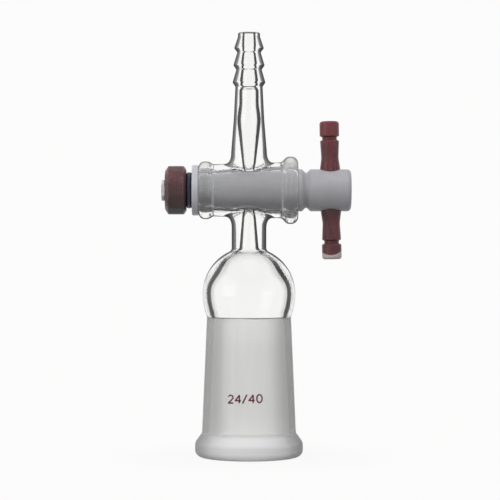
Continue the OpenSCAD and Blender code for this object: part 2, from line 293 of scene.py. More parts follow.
square = [(5, 0), (0, 0, 1), (0, 5)]
print("a square corner of radius 1 mm has", len(rounded(square)) - 2, "points")

# %% [markdown]
# ## Growing a ring along an outline
#
# A circle primitive is the first ring. Its edge is extruded again and again, and each new ring
# is laid where the outline says. Every point keeps a station number, so that a ring may also
# be a curve on the barrel and not only a circle.

# %% Selecting
def nothing_selected():
    """Leave object mode with nothing selected or active."""
    if bpy.context.object and bpy.context.object.mode != "OBJECT":
        bpy.ops.object.mode_set(mode="OBJECT")
    bpy.ops.object.select_all(action="DESELECT")


def only(*pieces):
    """Select these pieces alone, the first one active."""
    nothing_selected()
    for piece in pieces:
        piece.select_set(True)
    bpy.context.view_layer.objects.active = pieces[0]


# %% Growing
def grow(name, stations, rings, marks=None):
    """A skin through rings. A ring is a function from a station to (x, y, z) in millimetres.

    marks are the numbers of the zone of each ring, kept on the faces."""
    nothing_selected()
    bpy.ops.mesh.primitive_circle_add(vertices=stations, radius=MM, location=(0, 0, 0))
    piece = bpy.context.object
    piece.name = piece.data.name = name
    mesh = piece.data
    bpy.ops.object.mode_set(mode="EDIT")
    bpy.ops.mesh.select_mode(type="EDGE")
    bpy.ops.mesh.select_all(action="SELECT")
    work = bmesh.from_edit_mesh(mesh)
    work.verts.layers.int.new("station")
    work.verts.layers.int.new("ring")
    work.faces.layers.int.new("zone")
    for v in work.verts:
        v[work.verts.layers.int["station"]] = v.index
    for number, ring in enumerate(rings):
        if number:
            bpy.ops.mesh.extrude_edges_move()
        work = bmesh.from_edit_mesh(mesh)
        station = work.verts.layers.int["station"]
        order = work.verts.layers.int["ring"]
        for v in work.verts:
            if v.select:
                v.co = Vector(ring(v[station])) * MM
                v[order] = number
        bmesh.update_edit_mesh(mesh)
    if marks:
        zone = work.faces.layers.int["zone"]
        order = work.verts.layers.int["ring"]
        for face in work.faces:
            face[zone] = marks[max(v[order] for v in face.verts)]
        bmesh.update_edit_mesh(mesh)
    bpy.ops.object.mode_set(mode="OBJECT")
    return piece


# %% Joining and smoothing
def joined(name, pieces):
    """Several skins made one, with their common points merged and their faces outward."""
    only(*pieces)
    if len(pieces) > 1:
        bpy.ops.object.join()
    piece = bpy.context.object
    piece.name = piece.data.name = name
    bpy.ops.object.mode_set(mode="EDIT")
    bpy.ops.mesh.select_all(action="SELECT")
    bpy.ops.mesh.remove_doubles(threshold=MM / 500)
    bpy.ops.mesh.normals_make_consistent(inside=False)
    bpy.ops.object.mode_set(mode="OBJECT")
    check = bmesh.new()
    check.from_mesh(piece.data)
    open_edges = sum(1 for e in check.edges if len(e.link_faces) != 2)
    volume = check.calc_volume(signed=True) / MM ** 3
    check.free()
    print(name, len(piece.data.polygons), "faces", open_edges, "open edges",
          round(volume, 1), "mm3")
    return piece


def smooth(piece, angle):
    """Smooth shading, with creases only where the surface turns by more than an angle."""
    only(piece)
    bpy.ops.object.shade_smooth_by_angle(angle=math.radians(angle))


# %% Worn edges
LEAST_APART = 0.05


def mark_edges(piece, start, full):
    """Write how sharply each point of a piece stands out as the attribute wear.

    start and full are the curvatures, in radians per millimetre, where the wear begins and
    where it is complete."""
    work = bmesh.new()
    work.from_mesh(piece.data)
    layer = work.verts.layers.float.new("wear")
    for v in work.verts:
        sharpest = 0.0
        for e in v.link_edges:
            if len(e.link_faces) == 2:
                a, b = (f.calc_center_median() for f in e.link_faces)
                apart = max((a - b).length / MM, LEAST_APART)
                sharpest = max(sharpest, e.calc_face_angle_signed(0.0) / apart)
        v[layer] = min(1.0, max(0.0, (sharpest - start) / (full - start)))
    work.to_mesh(piece.data)
    work.free()


# %% Sizing and dressing a piece
def dressed(piece, body, slot, *materials):
    """Give a piece its materials and its body; the slot is not used."""
    piece.data.materials.clear()
    for material in materials:
        piece.data.materials.append(material)
    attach(piece, body)


def box_mm(node):
    """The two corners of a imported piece's box, in millimetres."""
    return [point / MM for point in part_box(node)]


# %% [markdown]
# ## The glass body
#
# A glassblower makes this from tubing: the ground socket is formed and ground, the bulb blown,
# the necks drawn and sealed to the barrel, and the barbs rolled. What makes it look fused is
# that one surface runs without a seam from the neck over the saddle of the seal to the barrel.
# A union of solids would leave a broken edge there, so the skin is grown as one net instead:
# 96 stations go up each neck, and on the barrel the same 96 stations spread out to a
# rectangle that the barrel's own ends carry on from. The inner skin does the same on the bore.

# %% Sizes of the glass
# Lengths are in millimetres. A name ends in R for a radius, W, L or H for a width, length or
# height, and OUT for how far something stands out.
MOUTH_R, SOCKET_L, SOCKET_TAPER = 12, 40, 10
SOCKET_TOP_R = MOUTH_R - SOCKET_L / SOCKET_TAPER / 2
glass_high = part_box("glass_body")[1]
RIM_R, TIP_Z = glass_high.y / MM, glass_high.z / MM
RIM_H, RIM_ROUND, RIM_OUT = 6.9, 2.4, 2
SOCKET_WALL, SOCKET_TOP_WALL = 1.4, 2
BULB_FOOT_R = SOCKET_TOP_R + SOCKET_TOP_WALL
BULB_R, BULB_RISE, BULB_WALL = BULB_FOOT_R + 1.2, 6.6, 1.8
BULB_Z = SOCKET_L + BULB_RISE
BULB_FILLET, MOUTH_FILLET, SHOULDER_FLAT = 1.2, 3.2, 0.45
NECK_R, NECK_BORE_R = 4.95, 2.05
STEM_R, STEM_MID_R, STEM_TOP_R, STEM_L = 5.1, 4.35, 3.95, 29.6
STEM_BORE_R, STEM_WIDE_H, BARB_BORE_R, PORT_R = 2.62, 20.0, 2.1, 1.5
SEAL_W, SEAL_H, SEAL_SIDE, SEAL_ROOM = 2, 3.2, 0.55, 0.94
BARBS, BARB_PITCH, BARB_R, BARB_STEP, BARB_UNDERCUT = 3, 4.9, 4.25, 0.225, 1.2
GROOVE_R, GROOVE_STEP, TIP_R, TIP_L, TIP_BORE_R = 3.35, 0.275, 3.15, 4.4, 1.4
BORE_PINCH, BORE_BULGE, BORE_EDGE = 0.28, 0.12, 0.4
DRAW_ROUND, BEAD_ROUND, GLASS_EDGE = 12, 2, 0.4
SMALL_END, LARGE_END = -14.4, 14
PLUG_R, PLUG_SLOPE, PLUG_GAP = 5.3, 0.05, 0.05
SMALL_WALL, LARGE_WALL = 2.7, 2.05
SMALL_BEAD_W, SMALL_BEAD_OUT, LARGE_BEAD_W, LARGE_BEAD_OUT = 4.2, 0.9, 4.7, 1.5


def taper_r(x):
    """Radius of the plug's taper at x."""
    return PLUG_R + x * PLUG_SLOPE


def bore_r(x):
    """Radius of the barrel's bore at x."""
    return taper_r(x) + PLUG_GAP


SMALL_R = bore_r(SMALL_END) + SMALL_WALL
LARGE_R = bore_r(LARGE_END) + LARGE_WALL
BARREL_SLOPE = (LARGE_R - SMALL_R) / (LARGE_END - SMALL_END)


def barrel_r(x):
    """Radius of the barrel's outside, without its beads, at x."""
    return SMALL_R + (x - SMALL_END) * BARREL_SLOPE


BARREL_MID_R = barrel_r(0)
print("barrel", round(SMALL_R, 2), "to", round(LARGE_R, 2), "mm, tip at", round(TIP_Z, 2))

# %% The net's stations
ROUND, QUARTER, SIDE = 96, 14, 20
BARREL_ROUND = 4 * QUARTER
PATCH_X = 8.0


def turn_of(station):
    """Angle of a station round the flow axis."""
    return 2 * math.pi * station / ROUND


def rectangle(station):
    """Where a station meets the rectangle on the barrel: x, and the angle round the barrel."""
    s = station % ROUND
    if s <= QUARTER:
        return PATCH_X, 90 * s / QUARTER
    s -= QUARTER
    if s <= SIDE:
        return PATCH_X - 2 * PATCH_X * s / SIDE, 90
    s -= SIDE
    if s <= 2 * QUARTER:
        return -PATCH_X, 90 - 90 * s / QUARTER
    s -= 2 * QUARTER
    if s <= SIDE:
        return -PATCH_X + 2 * PATCH_X * s / SIDE, -90
    s -= SIDE
    return PATCH_X, -90 + 90 * s / QUARTER


def round_axle(x, radius, angle, up=1):
    """A point round the plug's axis: up is 1 above the axis and -1 below it."""
    return x, radius * math.sin(angle), axis_z + up * radius * math.cos(angle)


def axle_ring(x, radius, stations):
    """A circle round the plug's axis as a ring."""
    return lambda s: round_axle(x, radius, 2 * math.pi * s / stations)


def circle_ring(radius, z):
    """An upright circle as a ring."""
    return lambda s: (radius * math.cos(turn_of(s)), radius * math.sin(turn_of(s)), z)


def patch_ring(foot, radius, up, share):
    """A ring on the barrel, from a foot round a neck (share 0) to the rectangle (share 1)."""
    def ring(s):
        fx, fy = foot(s)
        around = math.degrees(math.asin(fy / radius(fx)))
        tx, to = rectangle(s)
        x = fx + (tx - fx) * share
        return round_axle(x, radius(x), math.radians(around + (to - around) * share), up)
    return ring


print("net of", ROUND, "stations on the necks and", BARREL_ROUND, "on the barrel's ends")

# %% The saddle of a seal
def seal_section(tube_r, a):
    """Foot, bend and head of the saddle in the direction a, as (radius, height over the axis).

    The curve leaves the neck upright and meets the barrel along the barrel's own slope."""
    ease = 1 - SEAL_SIDE * math.sin(a) ** 2
    reach = min(SEAL_W, SEAL_ROOM * BARREL_MID_R - tube_r) * ease
    foot_r = tube_r + reach
    x, y = foot_r * math.cos(a), foot_r * math.sin(a)
    r = barrel_r(x)
    z = math.sqrt(r * r - y * y)
    fall = (y * math.sin(a) - r * BARREL_SLOPE * math.cos(a)) / z
    bend = z + fall * reach
    return (foot_r, z), (tube_r, bend), (tube_r, bend + SEAL_H * ease)


def seal_ring(tube_r, up, t):
    """A ring of the saddle, from its foot on the barrel (t 0) to its head on the neck (t 1)."""
    def ring(s):
        a = turn_of(s)
        foot, bend, head = seal_section(tube_r, a)
        r, z = ((1 - t) ** 2 * p + 2 * t * (1 - t) * q + t * t * h
                for p, q, h in zip(foot, bend, head))
        return r * math.cos(a), r * math.sin(a), axis_z + up * z
    return ring


def seal_foot(tube_r):
    """The foot of the saddle in plan."""
    def foot(s):
        a = turn_of(s)
        r = seal_section(tube_r, a)[0][0]
        return r * math.cos(a), r * math.sin(a)
    return foot


def port_foot(s):
    """The port in plan, where a neck's bore opens into the barrel's."""
    return PORT_R * math.cos(turn_of(s)), PORT_R * math.sin(turn_of(s))


print("the stem's saddle is", [round(seal_section(STEM_R, math.radians(a))[0][0], 2)
                               for a in (0, 90)], "mm out along and across the barrel")

# %% [markdown]
# ## Outlines of the upright glass
#
# Below the barrel are the socket with its rolled rim, the bulb and the lower neck, and above
# it the stem with its barbs. They could be cones and a sphere that are joined by booleans, but
# blown glass flows from one into the next, so each half is one outline. The wall isn't even,
# so the bore has an outline of its own.

# %% Outlines below the barrel
def bulb_outline(radius, foot_r, tube_r, fillet, flatten=0.0):
    """A blown bulb from its foot to its fillet with a neck.

    flatten takes that much off the middle of its shoulder, in a soft curve."""
    swell = radius - foot_r
    low_r = (BULB_RISE ** 2 + swell ** 2) / (2 * swell)
    fillet_z = BULB_Z + math.sqrt((radius + fillet) ** 2 - (tube_r + fillet) ** 2)
    top = math.degrees(math.atan2(fillet_z - BULB_Z, tube_r + fillet))
    low = math.degrees(math.asin(BULB_RISE / low_r))
    dome = []
    for i, (x, y) in enumerate(arc((0, BULB_Z), radius, ARC_STEP, top)):
        share = i / math.ceil((top - ARC_STEP) / ARC_STEP)
        kept = 1 - flatten / radius * math.sin(math.pi * share) ** 2
        dome.append((x * kept, BULB_Z + (y - BULB_Z) * kept))
    return (arc((radius - low_r, BULB_Z), low_r, -low, 0)
            + dome
            + arc((tube_r + fillet, fillet_z), fillet, 180 + top, 180))


MOUTH_EDGE, RIM_SIDE = 0.35, 0.6
socket_outline = rounded([
    (MOUTH_R, MOUTH_EDGE * 2),
    (MOUTH_R, 0, MOUTH_EDGE),
    (RIM_R, 0, RIM_ROUND),
    (RIM_R, RIM_SIDE * RIM_H, RIM_ROUND),
    (MOUTH_R + SOCKET_WALL, RIM_H, RIM_OUT / 2),
    (BULB_FOOT_R, SOCKET_L),
])
socket_outline[0] = (MOUTH_R - MOUTH_EDGE / SOCKET_TAPER, MOUTH_EDGE * 2)
neck_head_z = axis_z - BARREL_MID_R - SEAL_H - 1
outside_low = divided(socket_outline
                      + bulb_outline(BULB_R, BULB_FOOT_R, NECK_R, BULB_FILLET)
                      + [(NECK_R, neck_head_z)])
inside_low = divided(
    [(PORT_R, axis_z - BARREL_MID_R)]
    + bulb_outline(BULB_R - BULB_WALL, SOCKET_TOP_R, NECK_BORE_R, MOUTH_FILLET,
                   SHOULDER_FLAT)[::-1])
cone = divided([(SOCKET_TOP_R, SOCKET_L), socket_outline[0]])
print("below the barrel", len(outside_low), "rings outside and", len(inside_low + cone), "inside")

# %% Barbs and the bore behind them
PINCH_LEAD = 0.35
barb_foot_z = axis_z + STEM_L
first_barb_z = barb_foot_z + BARB_UNDERCUT + (BARBS - 1) * BARB_PITCH
barb_z = [first_barb_z - i * BARB_PITCH for i in range(BARBS)]
barb_rings = []
pinches = []
for i in reversed(range(BARBS)):
    groove_z = barb_z[i] - BARB_UNDERCUT
    barb_rings.append((GROOVE_R + i * GROOVE_STEP, groove_z, GLASS_EDGE))
    barb_rings.append((BARB_R + i * BARB_STEP, barb_z[i], GLASS_EDGE))
    r = TIP_BORE_R + i * (BARB_BORE_R - TIP_BORE_R) / BARBS
    pinches.append((r, groove_z - PINCH_LEAD, GLASS_EDGE))
    pinches.append((r - BORE_PINCH, groove_z, GLASS_EDGE / 2))
    pinches.append((r + BORE_BULGE, barb_z[i], BEAD_ROUND / 2))
print("barbs at", [round(z, 1) for z in barb_z], "mm")

# %% Outline of the stem and its bore
SEAL_CLEAR = 0.5
stem_foot_z = axis_z + BARREL_MID_R + SEAL_H
outside_up = divided(rounded(
    [(STEM_R, stem_foot_z - 1),
     (STEM_R, stem_foot_z, DRAW_ROUND),
     (STEM_MID_R, (stem_foot_z + barb_foot_z) / 2, DRAW_ROUND),
     (STEM_TOP_R, barb_foot_z - BARB_UNDERCUT, BEAD_ROUND)]
    + barb_rings
    + [(TIP_R, TIP_Z - TIP_L / 4, GLASS_EDGE),
       (TIP_R, TIP_Z, GLASS_EDGE),
       (TIP_BORE_R + BORE_EDGE, TIP_Z)]))
outside_up = [p for p in outside_up if p[1] > stem_foot_z + SEAL_CLEAR]
inside_up = divided(rounded(
    [(TIP_BORE_R, TIP_Z - BORE_EDGE)]
    + pinches[::-1]
    + [(BARB_BORE_R, barb_foot_z - BARB_UNDERCUT, BEAD_ROUND),
       (BARB_BORE_R, barb_foot_z - BARB_PITCH, DRAW_ROUND),
       (STEM_BORE_R, axis_z + STEM_WIDE_H, DRAW_ROUND),
       (PORT_R, axis_z + BARREL_MID_R, DRAW_ROUND),
       (PORT_R, axis_z + BARREL_MID_R - 1)]))
print("stem", len(outside_up), "rings, its bore", len(inside_up), "rings")

# %% [markdown]
# ## Growing the glass
#
# Each half is one run of rings: from the rectangle on the barrel over the saddle and along the
# neck, round the end, and back through the bore to the rectangle on the barrel's own bore. Each
# stretch is a zone with a number, because each gets its own finish later. The barrel's two ends
# are grown in the same way round the plug's axis, and then all four are merged.

# %% Runs of rings
(TUBE, SADDLE, BARREL, BEAD, BULB, WALL, BARB,
 BORE, INSIDE, BEAD_INSIDE, BULB_INSIDE, GROUND) = range(12)
PATCH_RINGS, BORE_RINGS, SEAL_RINGS = 7, 12, 12
BORE_CROWDING = 1.6


def patch(foot, radius, up, count, crowding=1):
    """The rings of a patch from the rectangle in to the foot, crowded towards the foot."""
    return [patch_ring(foot, radius, up, ((count - i) / count) ** crowding)
            for i in range(count)]


def seal(tube_r, up):
    """The rings of a saddle from its foot up."""
    return [seal_ring(tube_r, up, i / SEAL_RINGS) for i in range(SEAL_RINGS + 1)]


def port_ring(up):
    """The port's edge on the bore."""
    return patch_ring(port_foot, bore_r, up, 0)


def circles(outline):
    """An outline of (radius, z) as upright rings."""
    return [circle_ring(r, z) for r, z in outline]


def put_together(*runs):
    """Rings of several runs put end to end, and the zone of each."""
    rings, zones = [], []
    for zone, run in runs:
        rings += run
        zones += [zone] * len(run)
    return rings, zones


print("rings on the barrel", PATCH_RINGS, "in its bore", BORE_RINGS, "up a saddle", SEAL_RINGS)

# %% Grow the upper half
up_rings, up_zones = put_together(
    (BARREL, patch(seal_foot(STEM_R), barrel_r, 1, PATCH_RINGS)),
    (SADDLE, seal(STEM_R, 1)),
    (TUBE, circles([p for p in outside_up if p[1] < barb_foot_z])),
    (BARB, circles([p for p in outside_up if p[1] >= barb_foot_z])),
    (BORE, circles(inside_up) + [port_ring(1)]),
    (INSIDE, patch(port_foot, bore_r, 1, BORE_RINGS, BORE_CROWDING)[::-1]))
upper = grow("upper_glass", ROUND, up_rings, up_zones)
print("upper half", len(up_rings), "rings")

# %% Grow the lower half
# Zones end sharply where two rings lie close together, as just above the socket.
FILLET_TOP, BORE_FOOT, ZONE_OUT, ZONE_UP = 0.95, 0.1, 0.038, 0.1
neck_z = BULB_Z + BULB_R - BULB_FILLET
fillet_top = neck_z + FILLET_TOP
bore_foot_z = neck_z - BORE_FOOT
just_above = (BULB_FOOT_R + ZONE_OUT, SOCKET_L + ZONE_UP)
wall_skin = [p for p in outside_low if p[1] <= SOCKET_L + TINY]
bulb_skin = [just_above] + [p for p in outside_low if SOCKET_L + TINY < p[1] <= fillet_top]
neck_skin = [p for p in outside_low if p[1] > fillet_top]
bulb_bore = [p for p in inside_low if p[1] <= bore_foot_z]
neck_bore = [p for p in inside_low if p[1] > bore_foot_z]
low_rings, low_zones = put_together(
    (BARREL, patch(seal_foot(NECK_R), barrel_r, -1, PATCH_RINGS)),
    (SADDLE, seal(NECK_R, -1)),
    (TUBE, circles(neck_skin[::-1])),
    (BULB, circles(bulb_skin[::-1])),
    (WALL, circles(wall_skin[::-1])),
    (GROUND, circles(cone[::-1][1:])),
    (BULB_INSIDE, circles(bulb_bore[::-1][1:])),
    (BORE, circles(neck_bore[::-1]) + [port_ring(-1)]),
    (INSIDE, patch(port_foot, bore_r, -1, BORE_RINGS, BORE_CROWDING)[::-1]))
lower = grow("lower_glass", ROUND, low_rings, low_zones)
print("lower half", len(low_rings), "rings")

# %% Grow the barrel's two ends
BEAD_STRETCH = 1.0


def barrel_end(name, side, end, bead_x, bead_r, bead_round, flank, flank_round):
    """One end of the barrel: the bead, the end face, and back along the bore."""
    outside = divided(rounded([
        (side, barrel_r(side)),
        (bead_x, barrel_r(bead_x), flank_round),
        (flank, bead_r, bead_round),
        (end, bead_r, BEAD_ROUND),
        (end, bore_r(end) + BORE_EDGE)]), BEAD_STRETCH)
    inward = math.copysign(BORE_EDGE, -end)
    inside = divided([(end, bore_r(end) + BORE_EDGE), (end + inward, bore_r(end + inward)),
                      (side, bore_r(side))])[1:]
    under = [p for p in inside if abs(p[0]) > abs(bead_x)]
    rest = [p for p in inside if abs(p[0]) <= abs(bead_x)]
    rings, zones = put_together(*(
        (zone, [axle_ring(x, r, BARREL_ROUND) for x, r in outline])
        for zone, outline in ((BEAD, outside), (BEAD_INSIDE, under), (INSIDE, rest))))
    return grow(name, BARREL_ROUND, rings, zones)


SMALL_BEAD_X = SMALL_END + SMALL_BEAD_W
LARGE_BEAD_X = LARGE_END - LARGE_BEAD_W
small_end = barrel_end("small_end", -PATCH_X, SMALL_END, SMALL_BEAD_X,
                       SMALL_R + SMALL_BEAD_OUT, BEAD_ROUND,
                       SMALL_BEAD_X - 1.5 * SMALL_BEAD_OUT, SMALL_BEAD_OUT / 2)
large_end = barrel_end("large_end", PATCH_X, LARGE_END, LARGE_BEAD_X,
                       LARGE_R + LARGE_BEAD_OUT, LARGE_BEAD_OUT,
                       LARGE_BEAD_X + LARGE_BEAD_OUT, LARGE_BEAD_OUT)
glass = joined("glass_skin", [upper, lower, small_end, large_end])
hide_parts("glass_body")
smooth(glass, 40)

# %% [markdown]
# ## Where the glass turns dark
#
# Drawn glass shows a dark line along each side, broad on the thick necks and thin on the bulb
# and the barrel. Here that line is painted shade: a dark grey mixed in by the angle at which
# the skin is met. Painted at a fixed place, it would stay behind when the piece is seen from
# elsewhere. So the skin only keeps the cosine under which a glance is lost to the side. It is
# smoothed over the skin, so that a dark edge grows thinner from neck to barrel, and it ends
# sharply at the foot of the lower neck, where the wall turns out to the bulb.

# %% Edge cosines
# The zones are in the order of their numbers, and the fades are heights in millimetres.
EDGE_COSINE = {"tube": 0.62, "saddle": 0.68, "barrel": 0.19, "bead": 0.28, "bulb": 0.12,
               "wall": 0.16, "barb": 0.66, "bore": 0.0, "inside": 0.0, "bead_inside": 0.0,
               "bulb_inside": 0.0, "ground": 0.0}
ZONE_NAMES = list(EDGE_COSINE)
SMOOTH_PASSES = 5
NECK_COSINE, NECK_FADE = 0.69, (58.6, 59.3, 66.5)
SHOULDER_COSINE, SHOULDER_FADE = 0.30, (50.0, 56.5)


def spread_edge_cosine(piece):
    """Write the edge cosine on the points as an attribute, averaged over neighbours."""
    work = bmesh.new()
    work.from_mesh(piece.data)
    layer = work.verts.layers.float.new("edge_cosine")
    zone = work.faces.layers.int["zone"]
    value = {}
    for v in work.verts:
        levels = [EDGE_COSINE[ZONE_NAMES[f[zone]]] for f in v.link_faces]
        value[v] = sum(levels) / len(levels)
    for _ in range(SMOOTH_PASSES):
        value = {v: (value[v] + sum(value[e.other_vert(v)] for e in v.link_edges))
                 / (1 + len(v.link_edges)) for v in work.verts}
    for v, level in value.items():
        z, r = v.co.z / MM, math.hypot(v.co.x, v.co.y) / MM
        if NECK_FADE[0] < z < NECK_FADE[2] and r > NECK_R - GLASS_EDGE:
            share = min(1.0, (z - NECK_FADE[0]) / (NECK_FADE[1] - NECK_FADE[0]))
            level = SHOULDER_COSINE + share * (NECK_COSINE - SHOULDER_COSINE)
        elif SHOULDER_FADE[0] < z <= NECK_FADE[0] and level > 0:
            share = (z - SHOULDER_FADE[0]) / (SHOULDER_FADE[1] - SHOULDER_FADE[0])
            level = max(level, level + min(1.0, share) * (SHOULDER_COSINE - level))
        v[layer] = level
    work.to_mesh(piece.data)
    work.free()


spread_edge_cosine(glass)
zone_of = [0] * len(glass.data.polygons)
glass.data.attributes["zone"].data.foreach_get("value", zone_of)
print({name: zone_of.count(i) for i, name in enumerate(ZONE_NAMES)})

# %% [markdown]
# ## The finish of the glass
#
# A ray that meets a glass tube near its side is bent away from the white behind and finds
# the dark of the room, and so does a ray that skims the bore. Blender would only show that
# with a dark room on every side, and then the glass would look black from some places. So
# the dark bands are given by the angle at which the surface is met, which is what decides
# it in the real glass: a Layer Weight node mixes a dark grey into the glass. Shadow rays pass,
# because a thin clear wall casts almost no shadow on the plug inside.

# %% The clear glass itself
GLASS_IOR = 1.47
GLASS_TINT = (0.962, 0.965, 0.955, 1)
GLASS_GLEAM, SHADOW_TINT = grey(0.35), grey(0.93)
WAVE_SCALE, WAVE_LENGTH, WAVE_HEIGHT = 160, 3, 0.012


def clear_glass(tree, **inputs):
    """The shader of the clear glass."""
    return add(tree, "BsdfPrincipled", {
        "Base Color": GLASS_TINT, "Roughness": 0.0, "IOR": GLASS_IOR,
        "Specular Tint": GLASS_GLEAM, "Transmission Weight": 1.0, **inputs}).outputs[0]


def wavy_normal(tree):
    """Slow waves of drawn glass, longer along the tubes than across, as a normal."""
    place = add(tree, "TexCoord").outputs["Object"]
    stretched = add(tree, "Mapping", {
        "Vector": place, "Scale": (WAVE_SCALE, WAVE_SCALE, WAVE_SCALE / WAVE_LENGTH)})
    waves = noise(tree, stretched.outputs[0], 1.0, 1.0, 0.4)
    return add(tree, "Bump", {"Height": waves, "Strength": 1.0,
                              "Distance": WAVE_HEIGHT * MM}).outputs["Normal"]


def glass_output(tree, out, glassy, colour, mask):
    """Glass with a plain colour laid on it by a mask, which lets shadow rays through."""
    path = add(tree, "LightPath")
    laid = add(tree, "BsdfDiffuse", {"Color": colour})
    both = add(tree, "MixShader", {0: mask, 1: glassy, 2: laid.outputs[0]})
    clear = add(tree, "BsdfTransparent", {"Color": SHADOW_TINT})
    lighting = larger(tree, path.outputs["Is Shadow Ray"], path.outputs["Is Diffuse Ray"])
    final = add(tree, "MixShader", {0: lighting, 1: both.outputs[0], 2: clear.outputs[0]})
    tree.links.new(final.outputs[0], out.inputs["Surface"])


print("glass bends light by", GLASS_IOR)

# %% How a ray meets a tube
UPRIGHT, LEVEL = (0, 0, 1), (1, 0, 0)
LEAST_ACROSS = 0.03


def turned_away(tree, **inputs):
    """0 where a ray meets the surface squarely, and 1 where it only grazes it."""
    return add(tree, "LayerWeight", {"Blend": 0.5, **inputs}).outputs["Facing"]


def from_within(tree):
    """1 where the skin is met from inside the glass, and 0 from outside."""
    return add(tree, "NewGeometry").outputs["Backfacing"]


def glance_cosine(tree, axis=None):
    """The cosine at which a ray meets the surface, for a tube as it is in its cross section.

    A tube that is looked at along its length is met at a glance all over, yet only its sides
    turn dark, so the share of the ray that runs along the axis is taken out."""
    cosine = rest_of(tree, turned_away(tree))
    if not axis:
        return cosine
    way = add(tree, "VectorTransform", {"Vector": axis}, vector_type="VECTOR",
              convert_from="OBJECT", convert_to="WORLD").outputs[0]
    along = rest_of(tree, turned_away(tree, Normal=way))
    across = larger(tree, LEAST_ACROSS, rest_of(tree, times(tree, along, along)))
    return maths(tree, "MINIMUM", 1.0,
                 maths(tree, "DIVIDE", cosine, maths(tree, "SQRT", across)))


print("upright and level tubes lie along", UPRIGHT, LEVEL)

# %% [markdown]
# ## Folds of light in the barrel
#
# The barrel bends the plug's grey and the white behind into each other. Here this is painted:
# each bead is set off from the barrel by a painted pale fold, the beads get painted highlights
# on top and pale painted bands, and the barrel gets painted shade low down. Traced light alone
# would show these only under the lamps of one studio, so they are painted masks over the place
# on the barrel.

# %% Masks of the barrel
# A ramp is where it starts and ends, and its value at each. A drop is counted down from the axis.
FOLDS = ((SMALL_BEAD_X, 0.42), (LARGE_BEAD_X + 0.15, 0.36))
FOLD_CORE, FOLD_RAMP = 0.35, (-5.0, 7.0, 0.12, 0.55)
SMALL_BEAD_RAMP = (SMALL_BEAD_X - 0.6, SMALL_BEAD_X - 0.3, 1.0, 0.0)
LARGE_BEAD_RAMP = (LARGE_BEAD_X + 0.4, LARGE_BEAD_X + 0.9)
BANDS_PER_MM, BAND_RAMP = 1.3, (0.45, 0.62, 0.0, 0.16)
BEAD_TOP_RAMP = (-8.0, -4.1, 0.75, 0.0)
BEAD_LIFT, LOW_RAMP, LOW_END = 1.2, (1.0, 5.6, 0.0, 0.36), (5.8, 6.6, 1.0, 0.0)
# The pale colour of the painted highlights, and the dark of the painted shade low on the barrel.
PAINTED_HIGHLIGHT_PALE, PAINTED_SHADE_DARK = grey(0.72), (0.13, 0.135, 0.13, 1)


def painted_barrel_light_and_shade(tree):
    """Painted light on the barrel: where it is laid a pale tone as highlights, and where a dark
    one as shade.
    """
    _, x, z = spot(tree)
    drop = maths(tree, "SUBTRACT", axis_z, z)
    folds = 0.0
    for at, half in FOLDS:
        away = maths(tree, "ABSOLUTE", maths(tree, "SUBTRACT", x, at))
        folds = larger(tree, folds, ramp(tree, away, half * FOLD_CORE, half, 1.0, 0.0))
    folds = times(tree, folds, ramp(tree, drop, *FOLD_RAMP))
    bead = larger(tree, ramp(tree, x, *SMALL_BEAD_RAMP), ramp(tree, x, *LARGE_BEAD_RAMP))
    wave = noise_along(tree, times(tree, x, BANDS_PER_MM), 1.0)
    bands = times(tree, bead, ramp(tree, wave, *BAND_RAMP))
    top = times(tree, bead, ramp(tree, drop, *BEAD_TOP_RAMP))
    pale = larger(tree, folds, larger(tree, bands, top))
    low = ramp(tree, maths(tree, "ADD", drop, times(tree, bead, BEAD_LIFT)), *LOW_RAMP)
    low = times(tree, low, ramp(tree, drop, *LOW_END))
    return pale, times(tree, low, rest_of(tree, folds))


print("folds of the barrel at x", [round(at, 2) for at, half in FOLDS], "mm")

# %% Outside of the clear glass
EDGE_SOFTNESS, EDGE_OVER, EDGE_DEEP = 0.05, 0.3, 0.5
TONE_RAMP = (0.0, 0.3)


def outer_glass(name, edge_colour, inner_colour, barrel_with_painted_light=False):
    """The outside of the clear glass: dark where it is met at a glance from outside."""
    material, tree, out = new_material(name)
    cosine = glance_cosine(tree, None if barrel_with_painted_light else UPRIGHT)
    limit = add(tree, "Attribute", attribute_name="edge_cosine").outputs["Fac"]
    inward = ramp(tree, maths(tree, "DIVIDE", cosine, limit), EDGE_DEEP, 1.0)
    colour = blend_colours(tree, inward, edge_colour, inner_colour)
    above = maths(tree, "SUBTRACT", cosine, limit)
    lost = ramp(tree, above, -EDGE_SOFTNESS, EDGE_SOFTNESS * EDGE_OVER, 1.0, 0.0)
    if barrel_with_painted_light:
        # Painted highlights and painted shade on the barrel, laid over its dark edges.
        pale, low = painted_barrel_light_and_shade(tree)
        tone = blend_colours(tree, maths(tree, "GREATER_THAN", low, pale), PAINTED_HIGHLIGHT_PALE, PAINTED_SHADE_DARK)
        colour = blend_colours(tree, ramp(tree, lost, *TONE_RAMP), tone, colour)
        lost = larger(tree, lost, larger(tree, pale, low))
    glassy = clear_glass(tree, Normal=wavy_normal(tree))
    glass_output(tree, out, glassy, colour, times(tree, lost, rest_of(tree, from_within(tree))))
    return material


# The two greys are the painted shade of the dark edge, at its outer side and further in.
tube_glass = outer_glass("drawn_glass", grey(0.16), grey(0.40))
barrel_glass = outer_glass("barrel_glass", grey(0.20), grey(0.45), barrel_with_painted_light=True)
print("outside finishes", tube_glass.name, barrel_glass.name)

# %% Inside of the clear glass
VEIL, FADED = 0.3, 0.25
BULB_FADE = (54.5, 58.0)
# The dark grey is painted shade where a glance skims the bore, and the plug's grey is a painted
# reflection of the plug in the barrel's bore.
BORE_GREY, PAINTED_PLUG_GREY = grey(0.12), (0.36, 0.36, 0.375, 1)


